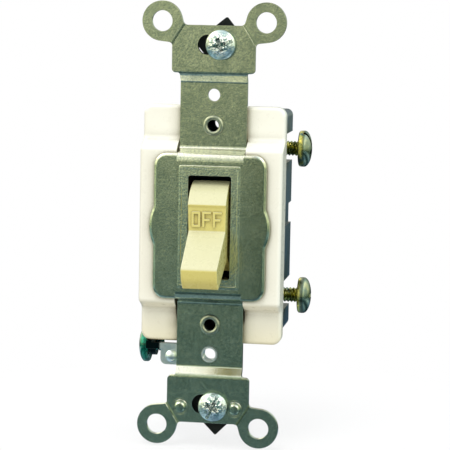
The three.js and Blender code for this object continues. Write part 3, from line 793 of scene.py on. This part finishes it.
def bent_sheet():
    """The strap's side view: one sheet bent to three levels, with round bends."""
    half = SHEET / 2
    upper = [
        (PLATE_FRONT, PLATE_SLOPE[0], PLATE_BEND),
        (ARM_FRONT, PLATE_SLOPE[1], PLATE_BEND),
        (ARM_FRONT, EAR_SLOPE[0], ARM_BEND),
        (EAR_FRONT, EAR_SLOPE[1], EAR_BEND),
        (EAR_FRONT, RING_Z + RING_R + 2, 0),
    ]
    middle = [(y, -z, r) for y, z, r in reversed(upper)] + upper
    path = [Vector(p) for p in rounded([(y + half, z, r) for y, z, r in middle], 0, 9, False)]
    sides = ([], [])
    for i, here in enumerate(path):
        along = (path[min(i + 1, len(path) - 1)] - path[max(i - 1, 0)]).normalized()
        across = Vector((along.y, -along.x)) * half
        sides[0].append(tuple(here + across))
        sides[1].append(tuple(here - across))
    return sides[0] + sides[1][::-1]


def plate_outline():
    """The centre plate: rounded corners, and a shallow bulge half-way up each side."""
    half_x, half_z = PLATE_HALF
    corner = 3.0
    bow = (BULGE_HALF**2 + BULGE_RISE**2) / (2 * BULGE_RISE)
    sweep = math.degrees(math.asin(BULGE_HALF / bow))
    bulge = [(x, z, 0) for x, z in arc(half_x + BULGE_RISE - bow, 0, bow, -sweep, sweep, 12)]
    right = [(half_x, -half_z, corner), *bulge, (half_x, half_z, corner)]
    return rounded(right + [(-x, -z, r) for x, z, r in right], 0, 9)


def groove(x0, z0, x1, z1, width, depth, front):
    """A V-shaped cutter along a line on a face whose front is at the depth given."""
    a, b = Vector((x0, z0)), Vector((x1, z1))
    along = (b - a).normalized()
    across = Vector((-along.y, along.x))
    past_end = along * 0.6
    section = [(-width / 2 - depth, -depth), (width / 2 + depth, -depth), (0, depth)]
    ends = [
        [(end.x + across.x * s, front + y, end.y + across.y * s) for s, y in section]
        for end in (a - past_end, b + past_end)
    ]
    return lofted(ends, "groove")


def slot_outline(z):
    """The slot for a box screw, with round ends."""
    radius = SLOT_HEIGHT / 2
    reach = (SLOT_LENGTH - SLOT_HEIGHT) / 2
    return arc(reach, z, radius, -90, 90, 14) + arc(-reach, z, radius, 90, 270, 14)


def centre_plate():
    """The strap's centre plate, cut square where the sheet's slopes carry on from it."""
    plate = prism(plate_outline(), PLATE_FRONT, PLATE_FRONT + SHEET)
    rolled_front_edge(plate, 0.8)
    inside = PLATE_SLOPE[0] - 1.2
    width = (-ARM_HALF + 0.05, ARM_HALF - 0.05)
    for up in (1, -1):
        cut(plate, block(width, (-6, 6), sorted((up * inside, up * 20))))
    return plate


def opening_bead():
    """The raised bead pressed round the toggle's opening."""
    bead = prism(round_rect(BEAD_HALF, BEAD_Z, 0.5), PLATE_FRONT - 0.16, PLATE_FRONT + 0.3)
    inside = round_rect(BEAD_HALF - BEAD_WIDTH, BEAD_Z - BEAD_WIDTH, 0.3)
    return bevelled(cut(bead, prism(inside, -6, 6)), 0.12)


def strap_holes():
    """Cutters for the opening, the box screws' slots and the round holes."""
    holes = [prism(round_rect(OPENING_HALF, OPENING_Z, 0.5), *THROUGH)]
    for up, wider in ((1, 0), (-1, 0.5)):
        holes.append(prism(slot_outline(up * DEVICE_SCREW_Z), *THROUGH))
        holes.append(rod(COVER_HOLE + wider, 0, up * COVER_SCREW_Z, *THROUGH))
        holes.append(rod(RIVET_HOLE, 0, up * RIVET_Z, *THROUGH))
        for side in (1, -1):
            holes.append(rod(RING_HOLE, side * RING_X, up * RING_Z, *THROUGH, 48))
    return holes


def mounting_strap():
    strap = common(prism(bent_sheet(), -20, 20, "X"), prism(strap_outline(), *THROUGH))
    join(strap, centre_plate())
    join(strap, opening_bead())
    cut(strap, *strap_holes())
    for up in (1, -1):
        for side in (1, -1):
            line = (side * EAR_TOP_HALF, up * EAR_TOP, side * EAR_HALF, up * EAR_SHOULDER)
            cut(strap, groove(*line, width=0.5, depth=0.3, front=EAR_FRONT))
    for side in (1, -1):
        cut(strap, pressed_ring(side * CLIP_RIVET_X, CLIP_RIVET_Z))
    bevelled(strap, 0.16, angle=38)
    place(strap, "frame", STRAP, "mounting_strap")


def pressed_ring(x, z):
    """A cutter for the shallow ring that the rivet tool leaves round a rivet head on an ear."""
    section = [(1.55, -1), (2.05, -1), (2.05, 0), (1.9, 0.16), (1.7, 0.16), (1.55, 0)]
    return moved(turned(section, 40), (x, EAR_FRONT, z))


def rolled_front_edge(plate, width):
    """Rounds a plate's front rim as a press tool does, and leaves its rear rim square."""
    with editing(plate) as bm:
        front = min(v.co.y for v in bm.verts)
        rim = [e for e in bm.edges if all(abs(v.co.y - front) < 1e-4 for v in e.verts)]
        round_edges(bm, rim, width)


# ---- housing ----


def cover_side():
    """The cover's side view: raised in the middle, with a step down to each end."""
    upper = [(COVER_FRONT, COVER_STEP[0], 1.1), (COVER_END, COVER_STEP[1], 1.2)]
    upper += [(COVER_END, COVER_Z, 0), (COVER_REAR, COVER_Z, 0)]
    lower = [(y, -z, r) for y, z, r in reversed(upper)]
    return rounded(lower + upper, 0, 7)


def strap_channel(up):
    """A cutter for the channel that lets the strap's slope down to the cover's end."""
    ahead = COVER_FRONT - 4
    first, last = up * (PLATE_SLOPE[0] - 2.5), up * (COVER_STEP[1] + 3)
    side = [
        (ahead, first, 0),
        (COVER_FRONT, first, 0),
        (COVER_FRONT, up * (PLATE_SLOPE[0] - 0.6), PLATE_BEND - SHEET / 2),
        (COVER_END, up * (PLATE_SLOPE[1] - 0.6), PLATE_BEND + SHEET / 2),
        (COVER_END, last, 0),
        (ahead, last, 0),
    ]
    return prism(rounded(side, 0, 7), -ARM_HALF - 0.25, ARM_HALF + 0.25, "X")


def front_cover():
    shell = common(
        prism(cover_side(), -COVER_X, COVER_X, "X"),
        prism(round_rect(COVER_X, COVER_Z, 2.2, steps=9), -8, COVER_REAR),
    )
    round_front_rim(shell, 0.85)
    cut(shell, block((-5.15, 5.15), THROUGH, (-11.95, 11.95)))
    for up in (1, -1):
        cut(shell, strap_channel(up))
        cut(shell, rod(RIVET_HOLE, 0, up * RIVET_Z, *THROUGH))
        bearing = block(sorted((up * 5.1, up * 7.1)), (0.05, 8), (-1.95, 1.95))
        hollow = block(sorted((up * 8.3, up * 14.6)), (0, 8), (-16, 16))
        cut(shell, bearing, hollow)
    bevelled(shell, 0.12, segments=2, angle=45)
    place(shell, "frame", WHITE, "front_cover")


def round_front_rim(shell, width):
    """Rounds the edge where a shell's upright walls meet the faces that look forward."""
    with editing(shell) as bm:
        bmesh.ops.dissolve_limit(bm, angle_limit=DEG, verts=bm.verts, edges=bm.edges)
        rim = []
        for edge in bm.edges:
            depths = sorted(face.normal.y for face in edge.link_faces)
            if depths[0] < -0.2 and depths[-1] > -0.02:
                rim.append(edge)
        round_edges(bm, rim, width)


def rear_base():
    body = prism(round_rect(BASE_X, BASE_Z, 1.5, steps=8), COVER_REAR, BASE_REAR)
    cavity = block((-9.5, 12.6), (0, 21.3), (-13.2, 13.2))
    plates_recess = block((11.6, 14.1), (11, 21.3), (-14.1, 14.1))
    side_notch = block((15.0, 20), (12, 30), (-1, 4))
    ground_notch = block((-20, -14.8), (0, 14.2), (-30, -25.0))
    cut(body, cavity, plates_recess, side_notch, ground_notch)
    for up in (1, -1):
        window = block((WINDOW_X, 20), (0, 30), sorted(up * z for z in WINDOW_Z))
        screw_well = moved(
            rod(2.2, 0, 0, 6.5, 13.8), (0, TERMINAL_Y, up * TERMINAL_Z), turn_about("Z", -90)
        )
        notch = block((-NOTCH_X, NOTCH_X), (NOTCH_FLOOR, 30), sorted((up * NOTCH_Z, up * 30)))
        cut(body, window, screw_well, notch, rod(RIVET_HOLE, 0, up * RIVET_Z, 0, 30))
    # Two posts hold the toggle's pins, and each stands on a ledge that reaches the wall beside it.
    bearing, ledge, across = (PIVOT_Y + PIN_R + 0.25, 6), (4.6, 10.9), (-1.7, 1.7)
    join(
        body,
        block((5.4, 6.9), bearing, across),
        block((5.4, 12.8), ledge, across),
        block((-6.9, -5.4), bearing, across),
        block((-9.7, -5.4), ledge, across),
    )
    bevelled(body, 0.3, angle=45)
    place(body, "frame", SLATE, "rear_base")


def eyelet(up, node):
    """A tubular rivet with a rolled rim at each end."""
    front, rear = ARM_FRONT, NOTCH_FLOOR
    rim = [(1.84 + 0.58 * c, front - 0.03 + 0.5 * s) for c, s in arc(0, 0, 1, 180, 360, 12)]
    roll = [(1.83 + 0.48 * c, rear + 0.1 + 0.48 * s) for c, s in arc(0, 0, 1, 0, 180, 8)]
    profile = [(1.3, front + 0.5), *rim, (2.42, front), (1.8, front), (1.8, rear), (2.3, rear)]
    tube = moved(turned(profile + roll, 56), (0, 0, up * RIVET_Z))
    place(tube, "frame", EYELET, node)


# ---- toggle ----


def toggle_profile():
    """The toggle's side view in (out, up) from its pivot: dome, legend flats and tapered handle."""
    dome = [(x, z, 0) for x, z in arc(0, 0, DOME_R, DOME_END, 61.3, 26)]
    handle = [(*FLAT_HEAD, 0), (*FLAT_FOOT, 0.5), (20.35, 2.95, 0.9), (STEM_END, 0, 4.0)]
    upper = [(-3.0, BOSS_R - 0.2, 0), *dome, *handle]
    lower = [(out, -up, r) for out, up, r in reversed(upper[:-1])]
    return rounded([(-out, up, r) for out, up, r in upper + lower], 0, 5)


def letter(kind, w, h, t):
    """The outline of one block capital, w wide and h high, with strokes t wide."""
    if kind == "O":
        return round_rect(w / 2, h / 2, 0.35, w / 2, h / 2, 4)
    if kind == "F":
        arm = h * 0.4
        stem_foot = [(0, 0), (t, 0), (t, arm)]
        middle_arm = [(w * 0.85, arm), (w * 0.85, arm + t), (t, arm + t)]
        top_arm = [(t, h - t), (w, h - t), (w, h), (0, h)]
        return stem_foot + middle_arm + top_arm
    left_stem = [(0, 0), (t, 0), (t, h - 2.1 * t)]
    right_stem = [(w - t, 0), (w, 0), (w, h), (w - t, h), (w - t, 2.1 * t)]
    return left_stem + right_stem + [(t, h), (0, h)]


def legend(word, up):
    """Raised capitals on one of the toggle's two flats, drawn with the pivot at the origin."""
    foot, head = Vector(FLAT_FOOT), Vector(FLAT_HEAD)
    middle, rise = (foot + head) / 2, (head - foot).normalized()
    width, height, gap, stroke = 2.05, 3.6, 0.42, 0.52
    left = -(len(word) * width + (len(word) - 1) * gap) / 2
    tilt = math.degrees(math.atan2(rise.x, rise.y))
    lean = turn_about("X", up * tilt)
    letters = []
    for i, kind in enumerate(word):
        made = prism(letter(kind, width, height, stroke), -0.38, 0.3)
        if kind == "O":
            half_x, half_z = width / 2, height / 2
            hole = round_rect(half_x - stroke, half_z - stroke, 0.15, half_x, half_z, 3)
            cut(made, prism(hole, -1, 1))
        bevelled(made, 0.07, segments=2)
        moved(made, (left + i * (width + gap), 0, -height / 2))
        letters.append(moved(made, (0, -middle.x, up * middle.y), lean))
    return letters


def in_toggle(obj):
    """Moves what was drawn round the toggle's pivot to its place at rest."""
    return moved(obj, (0, PIVOT_Y, 0), turn_about("X", TOGGLE_TILT))


def toggle_lever():
    body = prism(toggle_profile(), -TOGGLE_HALF, TOGGLE_HALF, "X")
    slice_along(body, first=8.0, last=19.0, count=5)
    for vertex in body.data.vertices:
        past = -vertex.co.y - STEM_START
        if past > 0:
            narrowing = STEM_TAPER * past / (STEM_END - STEM_START)
            vertex.co.x *= (STEM_HALF - narrowing) / TOGGLE_HALF
    bevelled(body, 0.32, segments=4, angle=30)
    boss = rod(BOSS_R, 0, 0, 0, BOSS_END, 56)
    pins = moved(rod(PIN_R, 0, 0, -PIN_HALF, PIN_HALF), turn=turn_about("Z", 90))
    join(body, boss, pins)
    cut(body, rod(BOSS_BORE, 0, 0, 3.0, 12))
    join(body, *legend("OFF", 1), *legend("ON", -1))
    place(in_toggle(body), "lever", IVORY, "toggle_lever")


def slice_along(obj, first, last, count):
    """Cuts an object across at several places along -Y, so that it can taper smoothly."""
    with editing(obj) as bm:
        for i in range(count):
            out = first + (last - first) * i / (count - 1)
            everything = bm.verts[:] + bm.edges[:] + bm.faces[:]
            bmesh.ops.bisect_plane(bm, geom=everything, plane_co=(0, -out, 0), plane_no=(0, 1, 0))


def toggle_spring():
    """A round-wire compression spring inside the toggle's boss."""
    turns, around, sides = 4.5, 28, 10
    radius, wire, start, end = 1.72, 0.28, 3.6, 7.9
    rings = []
    steps = int(turns * around)
    for i in range(steps + 1):
        angle = 2 * math.pi * i / around
        out = Vector((math.cos(angle), 0, math.sin(angle)))
        centre = out * radius + Vector((0, start + (end - start) * i / steps, 0))
        ring = []
        for k in range(sides):
            a = 2 * math.pi * k / sides
            ring.append(centre + wire * (out * math.cos(a) + Vector((0, math.sin(a), 0))))
        rings.append(ring)
    spring = in_toggle(lofted(rings, "spring"))
    place(spring, "lever", WIRE, "toggle_spring")


def spring_plunger():
    """A nylon plunger with a round nose, in the mouth of the toggle's boss."""
    nose = arc(0, 10.6, 1.2, 0, 90, 10)
    nose[-1] = (0, nose[-1][1])
    profile = [(0, 8.3), (1.8, 8.3), (2.0, 8.5), (2.0, 9.9), (1.26, 10.4), *nose]
    place(in_toggle(turned(profile, 40)), "lever", NYLON, "spring_plunger")


# ---- screws: head towards -Y with its underside at Y = 0, shank towards +Y ----


def threaded_shank(radius, length):
    """A shank whose surface follows a helical thread, with a plain neck and a tapered end."""
    around, rows = 36, 7
    depth, taper = 0.36 * THREAD_PITCH, 0.75
    count = int(length / THREAD_PITCH * rows)
    rings = []
    for i in range(count + 1):
        station = length * i / count
        fade = min(1, station / (0.9 * THREAD_PITCH))
        limit = radius - taper * max(0, station - length + taper)
        ring = []
        for k in range(around):
            turn = k / around
            wave = abs(((station / THREAD_PITCH - turn) % 1.0) * 2 - 1)
            crest = min(max((wave - 0.12) / 0.76, 0), 1)
            r = min(radius - depth * (1 - crest) * fade, limit)
            angle = 2 * math.pi * turn
            ring.append((r * math.cos(angle), station, r * math.sin(angle)))
        rings.append(ring)
    return lofted(rings, "shank")


def domed_head(radius, height):
    """A domed head with a rounded rim, as a turned solid."""
    edge = -0.42 * height
    rise = height + edge
    dome = [(radius * math.sin(a * DEG), edge - rise * math.cos(a * DEG)) for a in range(0, 91, 6)]
    dome[0] = (0, -height)
    skirt = [(radius, edge * 0.6), (radius - 0.06, -0.22), (radius - 0.28, 0), (0, 0)]
    return turned(dome + skirt, 72)


def recess(radius, height, slot_depth):
    """Cutters for a cross recess and a slot right across, as in a combination head."""
    reach, half_width, half_slot = radius * 0.5, 0.45, 0.42
    above, rim, deep = -height - 1, -height + 0.2, -height + 1.7
    right = [(reach, above), (reach, rim), (reach * 0.35, deep)]
    side = [(-reach, above)] + right + [(-reach * 0.35, deep), (-reach, rim)]
    cross = [prism(side, -half_width, half_width, "Z") for _ in range(2)]
    moved(cross[1], turn=turn_about("Y", 90))
    slot = block((-radius - 1, radius + 1), (above, -height + slot_depth), (-half_slot, half_slot))
    return [*cross, slot]


def machine_screw(size, shank, length, slot_depth):
    """A screw whose head has the radius and the height in size."""
    head = domed_head(*size)
    cut(head, *recess(*size, slot_depth))
    bevelled(head, 0.1, segments=2, angle=40)
    return merged("screw", head, moved(threaded_shank(shank, length), (0, 0.02, 0)))


def mounting_screw(where, x, z, turn):
    screw = machine_screw(BOX_HEAD, THREAD_R, length=19.0, slot_depth=0.7)
    moved(screw, (x, EAR_FRONT - 0.05, z), turn_about("Y", -turn))
    place(screw, f"{where}_box_screw", ZINC, f"{where}_mounting_screw")


def terminal_screw(where, x, z, turn):
    screw = machine_screw(TERMINAL_HEAD, THREAD_R, length=7.9, slot_depth=1.9)
    moved(screw, (x, TERMINAL_Y, z), turn_about("Z", 90) @ turn_about("Y", turn))
    place(screw, f"{where}_terminal", BRASS, f"{where}_terminal_screw")


def ground_screw():
    screw = machine_screw(GROUND_HEAD, shank=1.6, length=3.25, slot_depth=1.8)
    facing = turn_about("Z", -90) @ turn_about("Y", 66)
    moved(screw, (GROUND_X, GROUND_Y, GROUND_Z), facing)
    place(screw, "ground", GREEN, "ground_screw")


def screw_retainer(where, screw, middle, half, turn):
    """A square of fibre with the screw it holds a little off its middle."""
    square = moved(prism(round_rect(half, half, 0.35), 0.9, 2.1), turn=turn_about("Y", turn))
    cut(square, rod(1.86, -middle[0], -middle[1], 0, 3))
    bevelled(square, 0.12, segments=2)
    moved(square, (screw[0] + middle[0], 0, screw[1] + middle[1]))
    place(square, f"{where}_retainer", FIBRE, f"{where}_screw_retainer")


# ---- ground bracket and clip ----


def ground_bracket():
    """A tab behind the strap's lower arm, and a flange at its left end for the ground screw."""
    behind = (ARM_FRONT + SHEET, ARM_FRONT + 2 * SHEET)
    x0, x1 = FLANGE_X
    at_screw = (0, GROUND_Y, GROUND_Z)
    corners = [(-11.8, -33.2, 1.3), (3.6, -33.2, 0.6), (3.6, -28.2, 0.4), (-11.8, -28.2, 0)]
    bracket = prism(rounded(corners, 0), *behind)
    strip = block((x0, -10.8), behind, (-29.6, -28.2))
    web = prism([(1.6, -29.6), (GROUND_Y, -31.2), (GROUND_Y, -27.75), (1.6, -27.75)], x0, x1, "X")
    lobe = moved(rod(2.6, 0, 0, x0, x1), at_screw, turn_about("Z", -90))
    crown = block((x0, x1), (COVER_REAR + 0.2, GROUND_Y + 2.6), (GROUND_Z, -26.4))
    join(bracket, strip, web, lobe, crown)
    cut(bracket, moved(rod(1.75, 0, 0, -18, -12), at_screw, turn_about("Z", -90)))
    join(bracket, rod(COVER_HOLE + 0.42, 0, -COVER_SCREW_Z, ARM_FRONT - 0.15, behind[1] - 0.1))
    cut(bracket, rod(COVER_HOLE, 0, -COVER_SCREW_Z, -3, 6))
    dimple = turned([(0, -0.8), (0.8, -0.65), (1.35, -0.25), (1.6, 0.3), (0, 0.3)], 32)
    join(bracket, moved(dimple, (-9.2, behind[0], -31.2)))
    bevelled(bracket, 0.2, angle=40)
    place(bracket, "frame", TAB, "ground_bracket")


def clip_rivet(side, node):
    """A small round rivet head, and its upset tail behind the clip."""
    head = [(0, -0.92), (0.9, -0.86), (1.2, -0.6), (1.38, 0)]
    tail = [(0.86, 0), (0.86, 1.7), (1.2, 1.7), (1.05, 1.9), (0, 1.95)]
    rivet = moved(turned(head + tail, 40), (side * CLIP_RIVET_X, EAR_FRONT, CLIP_RIVET_Z))
    place(rivet, "frame", STRAP, node)


# ---- inner parts carried over from the CAD model ----


def carried_over(node, material, width):
    """Softens a CAD node's edges and gives it its finish."""
    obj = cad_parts[node]
    obj.modifiers.new("weld", "WELD").merge_threshold = 1e-6
    flat = obj.modifiers.new("flat", "DECIMATE")
    flat.decimate_type = "DISSOLVE"
    flat.angle_limit = 2 * DEG
    bevel(obj, width * MM, segments=2, angle=40)
    obj.data.materials.clear()
    obj.data.materials.append(material)


def inner_parts():
    for node, material, slot, width in (
        ("common_terminal", BRASS, "brass", 0.12),
        ("fixed_contact_terminal", BRASS, "brass", 0.12),
        ("moving_contact_arm", BRASS, "brass", 0.15),
        ("self_grounding_clip", BRASS, "brass", 0.08),
        ("fixed_contact", SILVER, "silver_contact", 0.15),
        ("moving_contact", SILVER, "silver_contact", 0.15),
        ("rocker_cradle", NYLON, "nylon", 0.2),
    ):
        carried_over(node, material, width)


# ---- stage ----


# What polished faces see by height and by side, and what soft light is made of.
MIRROR_BY_HEIGHT = [
    (-1.0, (0.33, 0.47, 0.6)),
    (-0.7, (0.3, 0.42, 0.5)),
    (-0.5, (0.02, 0.05, 0.06)),
    (-0.34, (0.02, 0.07, 0.08)),
    (-0.23, (0.5, 0.72, 0.85)),
    (-0.2, (0.17, 0.22, 0.2)),
    (-0.18, (0.0, 0.02, 0.01)),
    (-0.15, (0.0, 0.045, 0.025)),
    (-0.12, (0.09, 0.15, 0.1)),
    (-0.08, (0.24, 0.29, 0.2)),
    (-0.03, (0.58, 0.62, 0.43)),
    (0.0, (0.85, 0.88, 0.62)),
    (0.2, (0.85, 0.88, 0.7)),
    (0.5, (1.4, 1.4, 1.25)),
    (1.0, (1.9, 1.85, 1.8)),
]
MIRROR_BY_SIDE = [
    (-1.0, (1.6, 1.55, 1.45)),
    (-0.65, (2.4, 2.3, 2.1)),
    (-0.45, (0.8, 0.9, 0.9)),
    (-0.24, (1.25, 1.25, 1.2)),
    (-0.18, (1.0, 1.0, 1.0)),
    (-0.12, (0.36, 0.36, 0.36)),
    (0.05, (0.4, 0.44, 0.46)),
    (0.4, (0.6, 0.75, 0.8)),
    (0.65, (2.0, 1.9, 1.75)),
    (1.0, (1.4, 1.4, 1.4)),
]
SOFT_BY_HEIGHT = [(-1.0, (0.38, 0.31, 0.14)), (0.0, (0.68, 0.68, 0.64)), (1.0, (1.05, 1.05, 1.05))]
SOFT_BY_DEPTH = [(-1.0, (1.6, 1.6, 1.6)), (0.0, (0.9, 0.9, 0.9)), (1.0, (0.6, 0.65, 0.7))]


def floor():
    """A pale floor just under the object that fades out with distance."""
    bm = bmesh.new()
    bmesh.ops.create_circle(bm, cap_ends=True, segments=96, radius=0.4)
    obj = new_object("floor", bm)
    obj.location.z = cad_box[0][2] - 0.0005
    s = Shader("pale_floor")
    fine = s.noise(0.05, 2.0)
    colour = s.ramp(fine, [(0.3, (0.95, 0.95, 0.95)), (0.7, (0.97, 0.97, 0.97))])
    reach = s.vector("LENGTH", s.mm)["Value"]
    faded = s.level(reach, 12.0, 90.0, 0.25, 0.0)
    obj.data.materials.append(s.end(colour, 0.9, s.bump(fine, 0.02), Alpha=faded))
    obj.visible_glossy = False


def studio():
    """A white surround for the camera, and softer tones for what light and reflections see."""
    world = bpy.data.worlds.new("studio")
    bpy.context.scene.world = world
    world.use_nodes = True
    world.node_tree.nodes.clear()
    s = Nodes(world.node_tree)
    direction = s.axes(s.node("ShaderNodeTexCoord").outputs["Generated"])

    def along(axis, stops):
        """Colours by direction: -1 to 1 along one axis."""
        place_on = s.level(direction[axis], -1.0, 1.0, 0.0, 1.0)
        return s.ramp(place_on, [((where + 1) / 2, colour) for where, colour in stops])

    mirror = s.mix(1.0, along("Z", MIRROR_BY_HEIGHT), along("X", MIRROR_BY_SIDE), "MULTIPLY")
    soft = s.mix(1.0, along("Z", SOFT_BY_HEIGHT), along("Y", SOFT_BY_DEPTH), "MULTIPLY")
    paths = s.node("ShaderNodeLightPath").outputs
    lit = s.mix(paths["Is Glossy Ray"], soft, mirror)
    background = s.node("ShaderNodeBackground")
    light = s.fill(background, Color=s.mix(paths["Is Camera Ray"], lit, (1, 1, 1)))
    s.fill(s.node("ShaderNodeOutputWorld"), Surface=light["Background"])


def softbox(name, place_at, side, power, colour=(1, 1, 1)):
    """A square light aimed at the middle of the object, and unseen in reflections."""
    data = bpy.data.lights.new(name, "AREA")
    data.shape = "RECTANGLE"
    data.size = data.size_y = side
    data.energy = power
    data.color = colour
    light = bpy.data.objects.new(name, data)
    bpy.context.scene.collection.objects.link(light)
    light.location = place_at
    light.visible_glossy = False
    light.rotation_euler = (-Vector(place_at)).to_track_quat("-Z", "Y").to_euler()


def camera():
    """A long lens right of and a little above the middle, rolled a little."""
    azimuth, elevation, roll = 8.84 * DEG, 6.76 * DEG, 1.06 * DEG
    distance, aim = 459.9, Vector((3.18, 0, 0.32))
    level = math.cos(elevation)
    back = Vector((math.sin(azimuth) * level, -math.cos(azimuth) * level, math.sin(elevation)))
    right = (-back).cross(Vector((0, 0, 1))).normalized()
    up = right.cross(-back)
    tilted_right = right * math.cos(roll) + up * math.sin(roll)
    tilted_up = up * math.cos(roll) - right * math.sin(roll)
    data = bpy.data.cameras.new("camera")
    data.sensor_width = 36
    data.lens = 159.6
    data.clip_start = 0.01
    obj = bpy.data.objects.new("camera", data)
    bpy.context.scene.collection.objects.link(obj)
    turn = Matrix((tilted_right, tilted_up, back)).transposed().to_4x4()
    obj.matrix_world = Matrix.Translation(TO_FRAME @ (aim + back * distance)) @ turn
    bpy.context.scene.camera = obj


# ---- the whole switch ----

mounting_strap()
front_cover()
rear_base()
eyelet(1, "upper_rivet")
eyelet(-1, "lower_rivet")
toggle_lever()
toggle_spring()
spring_plunger()
mounting_screw("upper", *UPPER_SCREW, turn=20)
mounting_screw("lower", *LOWER_SCREW, turn=65)
screw_retainer("upper", UPPER_SCREW, (0.18, -0.2), half=4.7, turn=51)
screw_retainer("lower", LOWER_SCREW, (0.18, -0.46), half=4.9, turn=45)
terminal_screw("upper", 18.4, TERMINAL_Z, turn=62)
terminal_screw("lower", 18.95, -TERMINAL_Z, turn=97)
ground_screw()
ground_bracket()
clip_rivet(-1, "ground_clip_rivet_left")
clip_rivet(1, "ground_clip_rivet_right")
inner_parts()

floor()
studio()
softbox("key", (-0.12, -0.45, 0.8), side=0.35, power=2.9)
softbox("fill", (0.7, -0.25, 0.1), side=0.4, power=1.2, colour=(0.6, 0.88, 1.0))
camera()
bpy.context.scene.view_settings.view_transform = "Standard"
